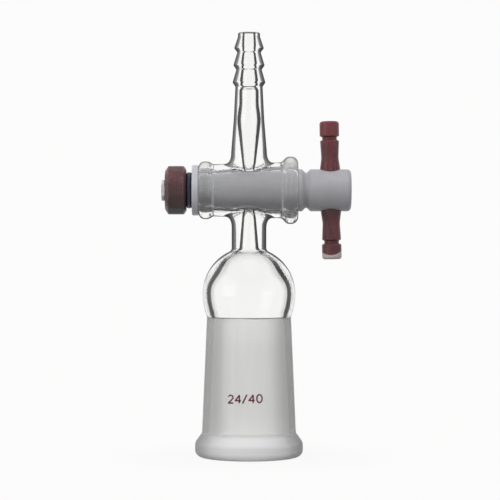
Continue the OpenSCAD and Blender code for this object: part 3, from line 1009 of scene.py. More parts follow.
def inner_glass(name, darkness, low, high, softness, strength=1.0, spread=0.02,
                fading=None, axis=None):
    """The inside: dark where a ray in the glass meets it between two cosines.

    A thin veil spreads a little past the two. fading gives two heights in millimetres
    between which the dark band fades out upwards."""
    material, tree, out = new_material(name)
    cosine = glance_cosine(tree, axis)
    band = times(tree, ramp(tree, cosine, low - softness, low + softness),
                 ramp(tree, cosine, high - softness, high + softness, 1.0, 0.0))
    veil = times(tree, ramp(tree, cosine, low - spread, low, 0.0, VEIL),
                 ramp(tree, cosine, high, high + spread, 1.0, 0.0))
    band = larger(tree, band, veil)
    if fading:
        band = times(tree, band, ramp(tree, spot(tree)[2], *fading, 1.0, FADED))
    within = times(tree, band, from_within(tree))
    glass_output(tree, out, clear_glass(tree), darkness, times(tree, within, strength))
    return material


bore_glass = inner_glass("glass_bore", BORE_GREY, 0.46, 0.79, 0.04, axis=UPRIGHT)
barrel_bore_glass = inner_glass("barrel_bore", PAINTED_PLUG_GREY, 0.60, 0.735, 0.03, 0.9, axis=LEVEL)
bead_bore_glass = inner_glass("bead_bore", PAINTED_PLUG_GREY, 0.40, 0.75, 0.06, 0.9, axis=LEVEL)
bulb_bore_glass = inner_glass("bulb_inside", BORE_GREY, 0.690, 0.762, 0.014, 1.0, 0.07, BULB_FADE)
print("inside finishes", bore_glass.name, barrel_bore_glass.name, bead_bore_glass.name,
      bulb_bore_glass.name)

# %% [markdown]
# ## Ground glass and the wall round it
#
# The cone is ground with grit, so its skin is a haze of fine scratches, with faint streaks up
# and down. A rough glass alone would be too dark inside the wall, so a plain pale colour is
# mixed into it, more where the cone is seen at a glance. Near the rim the cone is laid white
# as painted light, and its middle a little darker as painted shade. Where the grinding ends at
# the top, it leaves a thin uneven grey line. The clear wall outside has painted shade that
# greys it steadily towards its sides, and its rim is laid in a painted tone.

# %% Ground glass
# The ramps run over the height in millimetres.
GROUND_RIM = (5.5, 8.5, 1.0, 0.0)
WAIST_START, WAIST_END = (8.0, 14.0), (30.0, 37.0, 0.07, 0.0)
EDGE_START, EDGE_END, EDGE_WAVE = (39.9, 40.1), (40.3, 40.5, 1.0, 0.0), 0.6
STREAK_SCALE, GRAIN_SCALE, WAVES_SCALE = (420, 420, 18), 3000.0, 120.0
FROST_DULL, FROST_PALE = (0.94, 0.94, 0.92, 1), (0.98, 0.98, 0.96, 1)
FROST_GLANCE = (0.03, 0.60, 0.25, 1.0)


def frosted_glass(name):
    """The ground cone: fine scratches that let light through and scatter it."""
    material, tree, out = new_material(name)
    place, _, height = spot(tree)
    streak_place = add(tree, "Mapping", {"Vector": place, "Scale": STREAK_SCALE})
    streaks = noise(tree, streak_place.outputs[0], 1.0, 2.0)
    body = blend_colours(tree, ramp(tree, streaks, 0.3, 0.7), FROST_DULL, FROST_PALE)
    # Painted shade: the middle of the cone is laid a little darker.
    middle_shade = times(tree, ramp(tree, height, *WAIST_END), ramp(tree, height, *WAIST_START))
    body = blend_colours(tree, middle_shade, body, grey(0.0))
    # Painted light: near the rim the cone is laid white.
    colour = blend_colours(tree, ramp(tree, height, *GROUND_RIM), body, grey(1.0))
    wave = noise(tree, place, WAVES_SCALE, 1.0)
    top = maths(tree, "ADD", height, times(tree, wave, EDGE_WAVE))
    line = times(tree, ramp(tree, top, *EDGE_START), ramp(tree, top, *EDGE_END))
    line = times(tree, line, from_within(tree))
    colour = blend_colours(tree, times(tree, line, 0.75), colour, grey(0.25))
    bump = add(tree, "Bump", {"Height": noise(tree, place, GRAIN_SCALE, 2.0), "Strength": 0.4,
                              "Distance": 0.02 * MM})
    passing = add(tree, "BsdfPrincipled", {
        "Base Color": colour, "Roughness": 0.55, "IOR": GLASS_IOR,
        "Transmission Weight": 1.0, "Normal": bump.outputs["Normal"]})
    glance = ramp(tree, turned_away(tree), *FROST_GLANCE)
    glass_output(tree, out, passing.outputs[0], colour, larger(tree, glance, line))
    return material


ground_glass = frosted_glass("ground_glass")
print("ground up to", SOCKET_L, "mm")

# %% The socket's wall
WALL_RIM, RIM_SHARE = (5.8, 8.2, 1.0, 0.0), 0.62
MIST_RAMP, MIST_PALE, MIST_DARK = (0.10, 0.85), grey(0.97), grey(0.24)
GREY_POWER, GREY_STRENGTH, GREY_MOST = 1.6, 0.85, 0.6


def socket_wall(name, darkness):
    """The clear outside of the ground socket, which greys steadily towards its sides."""
    material, tree, out = new_material(name)
    # Painted shade: above the rim the wall is laid grey towards its sides, and the rim is laid
    # mostly in a tone from pale in front to dark at its sides.
    facing = turned_away(tree)
    rim = ramp(tree, spot(tree)[2], *WALL_RIM)
    misty = blend_colours(tree, ramp(tree, facing, *MIST_RAMP), MIST_PALE, MIST_DARK)
    colour = blend_colours(tree, rim, darkness, misty)
    greyed = times(tree, maths(tree, "POWER", facing, GREY_POWER), GREY_STRENGTH)
    greyed = maths(tree, "MINIMUM", greyed, GREY_MOST)
    greyed = larger(tree, greyed, ramp(tree, rim, 0.0, 1.0, 0.0, RIM_SHARE))
    glass_output(tree, out, clear_glass(tree), colour,
                 times(tree, greyed, rest_of(tree, from_within(tree))))
    return material


wall_glass = socket_wall("socket_wall", (0.34, 0.34, 0.335, 1))
print("the wall's rim ends at", WALL_RIM[1], "mm")

# %% Dress the glass
FINISHES = {"barrel": barrel_glass, "bead": barrel_glass, "bore": bore_glass,
            "inside": barrel_bore_glass, "bead_inside": bead_bore_glass,
            "bulb_inside": bulb_bore_glass, "wall": wall_glass, "ground": ground_glass}
finish_list = [tube_glass] + list(dict.fromkeys(FINISHES.values()))
dressed(glass, "glass", "glass", *finish_list)
index_of = [finish_list.index(FINISHES.get(name, tube_glass)) for name in ZONE_NAMES]
glass.data.polygons.foreach_set("material_index", [index_of[z] for z in zone_of])
glass.data.update()
print("glass dressed with", len(glass.data.materials), "finishes")

# %% [markdown]
# ## The PTFE plug
#
# PTFE is turned on a lathe: a waxy material with fine turning marks round the axis, and a soft
# shine. The small end carries a thread that is cut from the rod and has two flats, so the
# washer can't turn with the nut. A plain cylinder would do for the body, but its edges would be
# too sharp, so it is grown along an outline as the glass is.

# %% Sizes of the plug
THREAD_R, THREAD_ROOT, THREAD_PITCH, THREAD_FLATS, LEAD_L = 3, 2.45, 1.0, 5, 0.8
plug_low, plug_high = box_mm("plug")
HEAD_R, HEAD_L, HEAD_GROOVE_W, HEAD_GROOVE_DEPTH = 6, 11.6, 2.4, 0.95
TAPER_SMALL, TAPER_LARGE = SMALL_END + 0.8, LARGE_END + 1.1
THREAD_END, HEAD_END = plug_low.x, plug_high.x
HEAD_X = HEAD_END - HEAD_L
COLLAR_R = taper_r(TAPER_LARGE)
HEAD_GROOVE_R = min(HEAD_R, COLLAR_R) - HEAD_GROOVE_DEPTH
GROOVE_X, GROOVE_FLOOR = (TAPER_LARGE + HEAD_X) / 2, HEAD_GROOVE_W / 6
TURNED_EDGE, MOULD_EDGE, HEAD_EDGE = 0.2, 0.3, 1.1
HANDLE_X, HANDLE_LEAN, HANDLE_ROOT = HEAD_X + HEAD_L / 2, 1.2, 2.85
PLUG_ROUND = 72
POLE = 0.02
print("plug from", round(THREAD_END, 2), "to", round(HEAD_END, 2), "mm along its axis")


# %% Closing and cutting
CUTTER_H = 24


def closed_ends(piece):
    """Close the two last rings of a turned piece to their poles."""
    only(piece)
    bpy.ops.object.mode_set(mode="EDIT")
    bpy.ops.mesh.select_mode(type="EDGE")
    bpy.ops.mesh.select_all(action="DESELECT")
    bpy.ops.mesh.select_non_manifold(extend=False)
    bpy.ops.mesh.fill_holes(sides=0)
    bpy.ops.object.mode_set(mode="OBJECT")
    return piece


def cut(piece, tool):
    """Cut a piece with another, which is then thrown away."""
    only(piece)
    knife = piece.modifiers.new("cut", "BOOLEAN")
    knife.operation = "DIFFERENCE"
    knife.object = tool
    knife.solver = "EXACT"
    bpy.ops.object.modifier_apply(modifier=knife.name)
    bpy.data.objects.remove(tool)


def box_tool(low, high):
    """A plain box between two corners in millimetres, used only as a cutter."""
    nothing_selected()
    centre = (Vector(low) + Vector(high)) / 2
    bpy.ops.mesh.primitive_cube_add(size=1, location=centre * MM)
    tool = bpy.context.object
    tool.scale = (Vector(high) - Vector(low)) * MM
    bpy.ops.object.transform_apply(location=True, rotation=True, scale=True)
    return tool


def rod_tool(x, radius, lean=0.0):
    """A plain upright rod through the plug's axis at x, used only as a cutter."""
    nothing_selected()
    bpy.ops.mesh.primitive_cylinder_add(vertices=48, radius=radius * MM, depth=CUTTER_H * MM,
                                        location=Vector((x, 0, axis_z)) * MM,
                                        rotation=(0, math.radians(-lean), 0))
    tool = bpy.context.object
    bpy.ops.object.transform_apply(location=True, rotation=True, scale=True)
    return tool


print("cutters are", CUTTER_H, "mm high")

# %% Turn the plug
LEAD_SLOPE, PLUG_BORE_R, HANDLE_FIT = 0.3, 1.0, 0.05
plug_outline = divided(rounded([
    (TAPER_SMALL, THREAD_ROOT),
    (TAPER_SMALL, taper_r(TAPER_SMALL), MOULD_EDGE),
    (TAPER_LARGE, COLLAR_R, TURNED_EDGE),
    (GROOVE_X - GROOVE_FLOOR / 2, HEAD_GROOVE_R, MOULD_EDGE),
    (GROOVE_X + GROOVE_FLOOR / 2, HEAD_GROOVE_R, MOULD_EDGE),
    (HEAD_X, HEAD_R, TURNED_EDGE),
    (HEAD_END, HEAD_R, HEAD_EDGE),
    (HEAD_END, POLE)]))
stub_outline = divided([
    (THREAD_END, POLE),
    (THREAD_END, THREAD_R - TURNED_EDGE),
    (THREAD_END + TURNED_EDGE, THREAD_R),
    (THREAD_END + LEAD_L, THREAD_R),
    (THREAD_END + LEAD_L + LEAD_SLOPE, THREAD_ROOT),
    (TAPER_SMALL, THREAD_ROOT)])
plug_rings = [axle_ring(x, r, PLUG_ROUND) for x, r in stub_outline[:-1] + plug_outline]
plug_body = closed_ends(grow("plug_body", PLUG_ROUND, plug_rings))
joined("plug_body", [plug_body])
cut(plug_body, rod_tool(0, PLUG_BORE_R))
cut(plug_body, rod_tool(HANDLE_X, HANDLE_ROOT + HANDLE_FIT, HANDLE_LEAN))
print("plug has", len(plug_body.data.polygons), "faces")

# %% Cut the thread
THREAD_STEPS = 36
FLANK_SHARE, CREST_SHARE = 0.44, 0.08
THREAD_START, THREAD_SUNK = 0.2, 0.1
FLAT_CUTTER, PAST, HALF_FLAT = 2, 1, THREAD_FLATS / 2


def screw_thread(name, start, end, root, crest, pitch):
    """A ridge wound round the plug's axis, right-handed, with its ends closed."""
    nothing_selected()
    bpy.ops.mesh.primitive_circle_add(vertices=4, radius=MM, location=(0, 0, 0))
    piece = bpy.context.object
    piece.name = piece.data.name = name
    flank, tip = pitch * FLANK_SHARE, pitch * CREST_SHARE
    profile = [(-flank, root), (-tip, crest), (tip, crest), (flank, root)]
    for v, (x, r) in zip(piece.data.vertices, profile):
        v.co = Vector((start + flank + x, 0, r)) * MM
    turns = (end - start - 2 * flank) / pitch
    winding = piece.modifiers.new("winding", "SCREW")
    winding.axis = "X"
    winding.angle = 2 * math.pi * turns
    winding.screw_offset = pitch * MM * turns
    winding.steps = winding.render_steps = round(THREAD_STEPS * turns)
    winding.use_normal_calculate = True
    bpy.ops.object.modifier_apply(modifier=winding.name)
    closed_ends(piece)
    bpy.ops.object.mode_set(mode="EDIT")
    bpy.ops.mesh.select_all(action="SELECT")
    bpy.ops.mesh.normals_make_consistent(inside=False)
    bpy.ops.transform.translate(value=(0, 0, axis_z * MM))
    bpy.ops.object.mode_set(mode="OBJECT")
    return piece


thread = screw_thread("thread", THREAD_END + LEAD_L + THREAD_START, TAPER_SMALL,
                      THREAD_ROOT - THREAD_SUNK, THREAD_R, THREAD_PITCH)
for side in (-1, 1):
    middle = side * (HALF_FLAT + FLAT_CUTTER)
    for piece, end in ((thread, TAPER_SMALL), (plug_body, THREAD_END + LEAD_L)):
        low = (THREAD_END - PAST, middle - FLAT_CUTTER, axis_z - CUTTER_H / 4)
        high = (end + PAST, middle + FLAT_CUTTER, axis_z + CUTTER_H / 4)
        cut(piece, box_tool(low, high))
plug = joined("plug_turned", [plug_body, thread])
smooth(plug, 30)
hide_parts("plug")

# %% [markdown]
# ## The moulded handle and nut
#
# Both are injection moulded in a dark red plastic. The handle is a round bar whose two arms
# are waisted, with a groove and a cap at each end, and a fine parting line where the halves
# of the mould met. The nut has twelve flats and rounded chamfers. A circle has no flats, so
# the ring of the nut takes its radius from the twelve-sided shape and from the chamfer
# together, and the smaller of the two is met in a soft curve, as a mould leaves it.

# %% Handle
HANDLE_L, WAIST_R, ARM_R, CAP_R, CAP_L = 39.4, 2.425, 2.675, 2.75, 4.2
CAP_GROOVE_R, CAP_GROOVE_W, CAP_EDGE = 2.05, 1.4, 0.8
WAIST_SHARE = 0.4
HANDLE_ROUND = 64
PARTING = 0.035

cap_z = HANDLE_L / 2 - CAP_L
arm_z = cap_z - CAP_GROOVE_W
waist_z = HEAD_R + WAIST_SHARE * (arm_z - HEAD_R)
lip = CAP_GROOVE_W / 4
arm = [
    (HANDLE_ROOT, HEAD_R + MOULD_EDGE, BEAD_ROUND),
    (WAIST_R, waist_z, DRAW_ROUND / 2),
    (ARM_R, arm_z, MOULD_EDGE),
    (CAP_GROOVE_R, arm_z + lip, MOULD_EDGE),
    (CAP_GROOVE_R, cap_z - lip, MOULD_EDGE),
    (CAP_R, cap_z, MOULD_EDGE),
    (CAP_R, HANDLE_L / 2, CAP_EDGE),
]
handle_outline = divided(rounded(
    [(POLE, -HANDLE_L / 2)]
    + [(r, -z, e) for r, z, e in arm[::-1]]
    + arm
    + [(POLE, HANDLE_L / 2)]))
lean = Matrix.Rotation(math.radians(-HANDLE_LEAN), 3, "Y")


def handle_ring(radius, z):
    """A ring of the handle, a little proud on the two parting lines."""
    def ring(s):
        a = 2 * math.pi * s / HANDLE_ROUND
        proud = PARTING * min(1, radius) if s % (HANDLE_ROUND // 2) == 0 else 0.0
        r = radius + proud
        point = lean @ Vector((r * math.cos(a), r * math.sin(a), z))
        return point + Vector((HANDLE_X, 0, axis_z))
    return ring


handle = closed_ends(grow("handle_moulded", HANDLE_ROUND,
                          [handle_ring(r, z) for r, z in handle_outline]))
joined("handle_moulded", [handle])
smooth(handle, 40)
mark_edges(handle, 0.9, 3.0)
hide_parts("handle")

# %% Sizes of the nut
# The relief keeps the turning nut's face out of the ring's own surface.
SEAT_RELIEF = 0.02
NUT_R, NUT_SIDES, NUT_CHAMFER, CHAMFER_SHARE = 7.15, 12, 1.6, 0.65
NUT_SOFT, NUT_BLUNT, CORNER_SOFT = 0.14, 0.11, 0.05
NUT_HOLE_R = THREAD_R + 0.05
HOLE_LEAD, HOLE_LIP, GROOVE_DEPTH, GROOVES = 0.5, 0.3, 0.25, 22
SIDE_STEPS = (-15, -13, -11.4, -9.8, -5, 0, 5, 9.8, 11.4, 13)
WIDTH_STEPS = (0, 0.1, 0.2, 0.35, 0.5, 0.65, 0.8, 0.95, 1.1, 1.3, 1.6, 2.2, 3.0,
               3.8, 4.4, 4.7, 4.9, 5.05, 5.2, 5.35, 5.5, 5.65, 5.8, 5.9, 6.0)
NUT_ROUND = NUT_SIDES * len(SIDE_STEPS)
HALF_SIDE = 180 / NUT_SIDES
nut_low, nut_high = box_mm("nut")
nut_high.x -= SEAT_RELIEF
print("nut from", round(nut_low.x, 2), "to", round(nut_high.x, 2), "mm")


# %% Rings of the nut
def softer_min(a, b, soft):
    """The smaller of two lengths, met in a soft curve."""
    return (a + b - math.sqrt((a - b) ** 2 + soft * soft)) / 2


def nut_turn_of(station):
    """Angle of a station, closer together beside the corners."""
    side, step = divmod(station, len(SIDE_STEPS))
    return math.radians(side * 360 / NUT_SIDES + SIDE_STEPS[step])


def cone_at(x):
    """Radius of the chamfers' cones at x. The inner chamfer is three quarters as wide."""
    outer = NUT_R - NUT_CHAMFER + (x - nut_low.x) / CHAMFER_SHARE
    inner = NUT_R - 0.75 * NUT_CHAMFER + (nut_high.x - x) / CHAMFER_SHARE
    return min(outer, inner)


def nut_ring(x):
    """A ring of the nut: the twelve-sided shape, cut down to the chamfer's cone."""
    def ring(s):
        a = nut_turn_of(s)
        off = (math.degrees(a) + HALF_SIDE) % (2 * HALF_SIDE) - HALF_SIDE
        flat = NUT_R * math.cos(math.radians(HALF_SIDE)) / math.cos(math.radians(off))
        blunt = softer_min(flat, NUT_R - NUT_BLUNT, CORNER_SOFT)
        return round_axle(x, softer_min(blunt, cone_at(x), NUT_SOFT), a)
    return ring


def nut_hole_ring(x, radius):
    """A ring of the nut's hole."""
    return lambda s: round_axle(x, radius, nut_turn_of(s))


print("nut has", NUT_SIDES, "flats and", NUT_ROUND, "stations")

# %% Nut
outside = [nut_ring(nut_low.x + t) for t in WIDTH_STEPS]
mouth = [(nut_high.x, NUT_HOLE_R + HOLE_LEAD), (nut_high.x, NUT_HOLE_R + HOLE_LIP)]
grooves = [(nut_high.x - HOLE_LIP - THREAD_PITCH / 4 * i,
            NUT_HOLE_R + (GROOVE_DEPTH if i % 4 == 2 else 0.0)) for i in range(GROOVES)]
foot = [(nut_low.x, NUT_HOLE_R + HOLE_LIP), (nut_low.x, NUT_HOLE_R + HOLE_LEAD)]
hole = [nut_hole_ring(x, r) for x, r in mouth + grooves + foot]
nut = grow("nut_moulded", NUT_ROUND, outside + hole + outside[:1])
joined("nut_moulded", [nut])
smooth(nut, 24)
mark_edges(nut, 0.5, 1.6)
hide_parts("nut")

# %% [markdown]
# ## The size mark
#
# A ground joint carries its size as plain numerals, the diameter and the length of the cone
# in millimetres, fired on in red enamel. A text object would bring the shapes of a font, but
# these numerals are wide, with even strokes and soft ends. So each is drawn by the middle lines
# of its strokes. The lines get a round bevel and are made a mesh, and that is laid flat on the
# cone by its distance round it.

# %% Strokes of the numerals
# Each numeral is drawn in a box one unit high, and the last number is its width.
def oval(cx, cy, rx, ry, start, end, steps=14):
    """Points of an oval arc between two angles in degrees."""
    turns = [math.radians(start + (end - start) * i / steps) for i in range(steps + 1)]
    return [(cx + rx * math.cos(t), cy + ry * math.sin(t)) for t in turns]


STROKES = {
    "2": ([oval(0.31, 0.70, 0.27, 0.30, 165, -35) + [(0.06, 0.02)],
           [(-0.01, 0.0), (0.62, 0.0)]], 0.66),
    "4": ([[(0.50, -0.02), (0.50, 1.0)], [(0.52, 1.02), (0.04, 0.28)],
           [(-0.01, 0.30), (0.68, 0.30)]], 0.72),
    "/": ([[(0.0, -0.06), (0.46, 1.06)]], 0.50),
    "0": ([oval(0.33, 0.50, 0.29, 0.50, 90, 450, 28)], 0.70),
}
MARK_TEXT = "24/40"
MARK_HEIGHT, MARK_WIDE, MARK_STROKE, MARK_GAP = 2.20, 2.58, 0.42, 0.36
MARK_LEFT, MARK_Z, MARK_TILT = -6.05, 17.3, 1.3
MARK_FLAT, MARK_PROUD = 0.2, 0.03
print("numerals drawn for", MARK_TEXT)

# %% Draw the size mark
curve = bpy.data.curves.new("size_mark", "CURVE")
curve.dimensions = "3D"
curve.bevel_depth = MARK_STROKE / 2 * MM
curve.bevel_resolution = 2
curve.use_fill_caps = True
pen = 0.0
for sign in MARK_TEXT:
    lines, advance = STROKES[sign]
    for line in lines:
        stroke = curve.splines.new("POLY")
        stroke.points.add(len(line) - 1)
        for point, (x, y) in zip(stroke.points, line):
            point.co = ((pen + x * MARK_WIDE) * MM, y * MARK_HEIGHT * MM, 0, 1)
    pen += advance * MARK_WIDE + MARK_GAP
nothing_selected()
mark = bpy.data.objects.new("size_mark", curve)
bpy.context.collection.objects.link(mark)
only(mark)
bpy.ops.object.convert(target="MESH")
mark = bpy.context.object
print("mark is", round(pen - MARK_GAP, 2), "mm wide")


# %% Lay the mark on the cone
def socket_r(z):
    """Radius of the socket's outside wall at a height."""
    share = (z - RIM_H) / (SOCKET_L - RIM_H)
    return (MOUTH_R + SOCKET_WALL) * (1 - share) + BULB_FOOT_R * share


tilt = math.tan(math.radians(MARK_TILT))
for v in mark.data.vertices:
    x, y, depth = v.co / MM
    x += MARK_LEFT
    z = MARK_Z - MARK_HEIGHT / 2 + y + tilt * (x - MARK_LEFT)
    r = socket_r(z) + MARK_PROUD + depth * MARK_FLAT
    around = x / socket_r(MARK_Z)
    v.co = Vector((r * math.sin(around), -r * math.cos(around), z)) * MM
joined("size_mark", [mark])

# %% [markdown]
# ## Marks of the making
#
# The turned pieces share one effect, the fine rings that a lathe leaves, and the moulded ones
# share two: the streaks and specks of a plastic that flowed round a core, and edges that are
# worn pale. Each effect is a node group that gives out masks only, and each material decides
# what they do to it.

# %% Effects as node groups
FLOAT, VECTOR = "NodeSocketFloat", "NodeSocketVector"


def effect(name, label, value, outputs):
    """A node group with a place and one named number as inputs, and float outputs."""
    group = bpy.data.node_groups.new(name, "ShaderNodeTree")
    group.interface.new_socket("Place", in_out="INPUT", socket_type=VECTOR)
    group.interface.new_socket(label, in_out="INPUT", socket_type=FLOAT).default_value = value
    for result in outputs:
        group.interface.new_socket(result, in_out="OUTPUT", socket_type=FLOAT)
    return group, group.nodes.new("NodeGroupInput"), group.nodes.new("NodeGroupOutput")


def use(tree, group, inputs):
    """A node that uses an effect."""
    node = tree.nodes.new("ShaderNodeGroup")
    node.node_tree = group
    for key, value in inputs.items():
        give(tree, node.inputs[key], value)
    return node


print("effects take a place and one number")

# %% Turning marks
turning, given, result = effect("turning_marks", "Rings per mm", 4.0, ["Rings", "Patches"])
along = add(turning, "SeparateXYZ", {0: given.outputs["Place"]}).outputs["X"]
count = times(turning, times(turning, along, 1 / MM), given.outputs["Rings per mm"])
patches = noise(turning, given.outputs["Place"], 260.0, 3.0)
turning.links.new(noise_along(turning, count, 2.0), result.inputs["Rings"])
turning.links.new(patches, result.inputs["Patches"])
print("effect", turning.name)

# %% Moulding marks
moulding, given, result = effect("moulding_marks", "Stretch", 0.2, ["Streaks", "Specks"])
stretch = add(moulding, "CombineXYZ", {"X": 1.0, "Y": 1.0, "Z": given.outputs["Stretch"]})
flow = add(moulding, "VectorMath", {0: given.outputs["Place"], 1: stretch.outputs[0]},
           operation="MULTIPLY")
streaks = noise(moulding, flow.outputs[0], 800.0, 4.0, 0.65)
specks = noise(moulding, given.outputs["Place"], 2600.0, 1.0)
moulding.links.new(ramp(moulding, streaks, 0.34, 0.66), result.inputs["Streaks"])
moulding.links.new(ramp(moulding, specks, 0.60, 0.72), result.inputs["Specks"])
print("effect", moulding.name)

# %% Edge wear
edging, given, result = effect("edge_wear", "Wear", 0.0, ["Worn"])
patchy = noise(edging, given.outputs["Place"], 700.0, 3.0)
worn = times(edging, ramp(edging, given.outputs["Wear"], 0.15, 0.8),
             ramp(edging, patchy, 0.38, 0.62, 0.25, 1.0))
edging.links.new(worn, result.inputs["Worn"])
print("effect", edging.name)


# %% A solid surface
def solid(tree, out, colour, roughness, relief, strength, depth, **inputs):
    """A surface with its colour, its roughness and a fine relief, in millimetres deep."""
    bump = add(tree, "Bump", {"Height": relief, "Strength": strength, "Distance": depth * MM})
    shell = add(tree, "BsdfPrincipled", {
        "Base Color": colour, "Roughness": roughness, "Normal": bump.outputs["Normal"],
        **inputs})
    tree.links.new(shell.outputs[0], out.inputs["Surface"])


# %% [markdown]
# ## PTFE
#
# PTFE is waxy, takes dirt and has only a soft shine. The plug is turned and the washer is
# stamped from sheet, so they get their own grades of the same rings: the plug's are fine, and
# the washer is smoother. The plug is laid a darker grey than the washer as painted shade, for
# the glass round it. The bare end of the plug, beyond the thread, is painted paler than the
# rest, as painted light.

# %% PTFE materials
PTFE_IOR = 1.38


def ptfe(name, pale, dull, rings_per_mm, roughness, tip=None):
    """A waxy plastic with turning marks in its colour, its gloss and its surface.

    The tip, where there is one, is the colour of the bare end beyond the thread."""
    material, tree, out = new_material(name)
    place, along, _ = spot(tree)
    marks = use(tree, turning, {"Place": place, "Rings per mm": rings_per_mm})
    shade = maths(tree, "ADD", times(tree, marks.outputs["Rings"], 0.5),
                  times(tree, marks.outputs["Patches"], 0.5))
    colour = blend_colours(tree, ramp(tree, shade, 0.35, 0.65), dull, pale)
    # Painted light: the bare end beyond the thread is laid paler than the rest.
    if tip:
        lit_end = ramp(tree, along, THREAD_END + LEAD_L, THREAD_END + LEAD_L + 0.4, 1.0, 0.0)
        colour = blend_colours(tree, lit_end, colour, tip)
    gloss = ramp(tree, marks.outputs["Rings"], 0.3, 0.7, roughness - 0.06, roughness + 0.06)
    solid(tree, out, colour, gloss, marks.outputs["Rings"], 0.5, 0.012, IOR=PTFE_IOR)
    return material


# The plug's grey is a darker copy of the washer's tone, as painted shade for the glass round it.
shaded_plug_ptfe = ptfe("shaded_plug_ptfe", (0.50, 0.50, 0.525, 1), (0.445, 0.445, 0.465, 1), 5.0, 0.42,
                 (0.90, 0.87, 0.88, 1))
washer_ptfe = ptfe("washer_ptfe", (0.66, 0.66, 0.70, 1), (0.58, 0.58, 0.61, 1), 2.0, 0.38)
dressed(plug, "plug", "ptfe", shaded_plug_ptfe)
print("plug dressed in", shaded_plug_ptfe.name)

# %% [markdown]
# ## Dark red plastic
#
# The handle and the nut are a filled plastic: dark red, with darker streaks where it flowed and
# paler specks of the filler. The gloss follows the streaks. The rest is painted light and shade,
# mixed in by place. Low down each is painted browner and darker as painted shade, most on the
# nut, and a band below the axis is darker still: the nut's lowest flats, and on the handle a
# painted shadow under the plug's head. The handle is painted a paler red towards its top as
# painted light, and its lower cap has a pale edge that is a painted reflection of the floor,
# where the foot is also rougher.

# %% Dark red materials
# The speck red and the worn red are the plastic's own. The second red is painted light on the
# handle's top, the brown is painted shade low down, and the pale colour is a painted reflection
# of the floor on the handle's foot.
SPECK_RED, TOP_LIGHT_RED = (0.30, 0.16, 0.15, 1), (0.29, 0.066, 0.072, 1)
WORN_RED, LOW_SHADE_BROWN, FLOOR_REFLECTION_PALE = (0.33, 0.15, 0.15, 1), (0.060, 0.048, 0.048, 1), (0.72, 0.62, 0.60, 1)
RED_SHINE = {"Specular IOR Level": 0.24}
# Ramps over the millimetres below the axis, and for the foot's pale edge below its bowed line.
TOP_LIGHT_RAMP, LOW_SHADE_RAMP = (-20.0, -7.0, 0.5, 0.0), (-5.0, 4.0, 0.0)
BAND_SHADE_START, BAND_SHADE_END = (4.0, 6.0), (6.0, 9.5)
FOOT_EDGE_RAMP, FOOT_EDGE_BOW = (-1.35, -1.0, 0.0), 0.13


def red_plastic(name, red, dark, stretch, low_shade, foot_edge_share):
    """A moulded plastic, with streaks and specks, painted light and shade by height, and a
    painted reflection on a rougher foot.
    """
    material, tree, out = new_material(name)
    place, x, z = spot(tree)
    low = maths(tree, "SUBTRACT", axis_z, z)
    marks = use(tree, moulding, {"Place": place, "Stretch": stretch})
    colour = blend_colours(tree, marks.outputs["Streaks"], red, dark)
    colour = blend_colours(tree, times(tree, marks.outputs["Specks"], 0.35), colour, SPECK_RED)
    # Painted light: a paler red towards the handle's top.
    colour = blend_colours(tree, ramp(tree, low, *TOP_LIGHT_RAMP), colour, TOP_LIGHT_RED)
    # Painted shade: browner and darker low down, most on the nut.
    colour = blend_colours(tree, ramp(tree, low, *LOW_SHADE_RAMP, low_shade), colour, LOW_SHADE_BROWN)
    # Painted shade in a band below the axis: the nut's lowest flats, and on the handle the
    # painted shadow of the plug's head.
    band_shade = times(tree, ramp(tree, low, *BAND_SHADE_END, low_shade * 3, 0.0),
                    ramp(tree, low, *BAND_SHADE_START))
    colour = blend_colours(tree, band_shade, colour, LOW_SHADE_BROWN)
    wear = add(tree, "Attribute", attribute_name="wear").outputs["Fac"]
    edges = use(tree, edging, {"Place": place, "Wear": wear})
    colour = blend_colours(tree, times(tree, edges.outputs[0], 0.4), colour, WORN_RED)
    # A painted reflection of the floor on the handle's foot, as a pale edge under a bowed line;
    # the foot is also rougher there.
    across = maths(tree, "SUBTRACT", x, HANDLE_X)
    bow = times(tree, times(tree, across, across), FOOT_EDGE_BOW)
    edge = maths(tree, "ADD", maths(tree, "SUBTRACT", low, HANDLE_L / 2), bow)
    scuff_and_reflection = ramp(tree, edge, *FOOT_EDGE_RAMP, foot_edge_share)
    colour = blend_colours(tree, scuff_and_reflection, colour, FLOOR_REFLECTION_PALE)
    gloss = ramp(tree, marks.outputs["Streaks"], 0.0, 1.0, 0.30, 0.42)
    rough = maths(tree, "ADD", gloss, times(tree, scuff_and_reflection, 0.2))
    solid(tree, out, colour, rough, marks.outputs["Specks"], 0.3, 0.02, **RED_SHINE)
    return material


handle_red = red_plastic("handle_red", (0.185, 0.046, 0.053, 1), (0.083, 0.035, 0.041, 1),
                         0.12, 0.15, 0.9)
nut_red = red_plastic("nut_red", (0.150, 0.054, 0.060, 1), (0.083, 0.045, 0.048, 1),
                      0.7, 0.62, 0.0)
dressed(handle, "plug", "red_plastic", handle_red)
dressed(nut, "nut", "red_plastic", nut_red)
print("handle and nut dressed in", handle_red.name, nut_red.name)

# %% [markdown]
# ## Rubber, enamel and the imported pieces
#
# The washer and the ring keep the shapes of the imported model, which are already true: a flat
# stamped disc and a moulded torus. They only get their materials. The enamel of the size mark
# is fired on, so it is a little uneven.

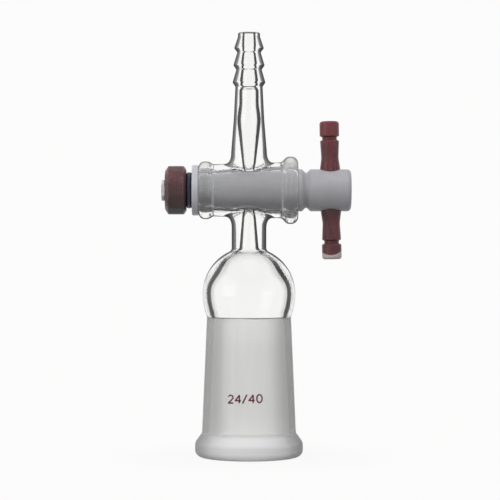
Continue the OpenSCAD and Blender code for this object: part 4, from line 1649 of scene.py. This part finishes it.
# %% Rubber and enamel
def plain_finish(name, pale, dark, scale, roughness):
    """A finish with a fine uneven grain in its colour, its gloss and its surface."""
    material, tree, out = new_material(name)
    grain = noise(tree, spot(tree)[0], scale, 3.0)
    colour = blend_colours(tree, ramp(tree, grain, 0.35, 0.65), dark, pale)
    gloss = ramp(tree, grain, 0.3, 0.7, roughness - 0.08, roughness + 0.08)
    solid(tree, out, colour, gloss, grain, 0.4, 0.01)
    return material


rubber = plain_finish("ring_rubber", (0.030, 0.032, 0.058, 1), (0.014, 0.015, 0.032, 1),
                      1800.0, 0.42)
enamel = plain_finish("mark_enamel", (0.165, 0.006, 0.016, 1), (0.115, 0.004, 0.010, 1),
                      1500.0, 0.40)
dressed(mark, "glass", "", enamel)
for node, finish in (("washer", washer_ptfe), ("o_ring", rubber)):
    for packed_slot in frame["nodes"][node].material_slots:
        packed_slot.material = finish
print("materials", sorted(m.name for m in bpy.data.materials))

# %% [markdown]
# ## The floor
#
# The object stands on a white sheet. A camera, a mirror or a glass sees it white, and near
# the foot a little of its own shade is mixed in, so that the object doesn't float. A plane lit
# by the lamps alone would turn grey far away, where they don't reach.

# %% Floor
FLOOR_R = 450
SHEET_RAMP = (0.012, 0.05, 0.965, 1.0)
nothing_selected()
bpy.ops.mesh.primitive_circle_add(vertices=96, radius=FLOOR_R * MM, fill_type="NGON",
                                  location=(0, 0, 0))
floor = bpy.context.object
floor.name = floor.data.name = "floor"
sheet, tree, out = new_material("white_sheet")
place = add(tree, "TexCoord").outputs["Object"]
far = add(tree, "VectorMath", {0: place}, operation="LENGTH").outputs["Value"]
shine = times(tree, looked_at(tree), ramp(tree, far, *SHEET_RAMP))
paper = add(tree, "BsdfDiffuse", {"Color": grey(0.3)})
white = add(tree, "Emission", {"Color": WARM_WHITE, "Strength": SEEN_WHITE})
mixed = add(tree, "MixShader", {0: shine, 1: paper.outputs[0], 2: white.outputs[0]})
tree.links.new(mixed.outputs[0], out.inputs["Surface"])
floor.data.materials.append(sheet)
print("floor is", 2 * FLOOR_R, "mm wide")
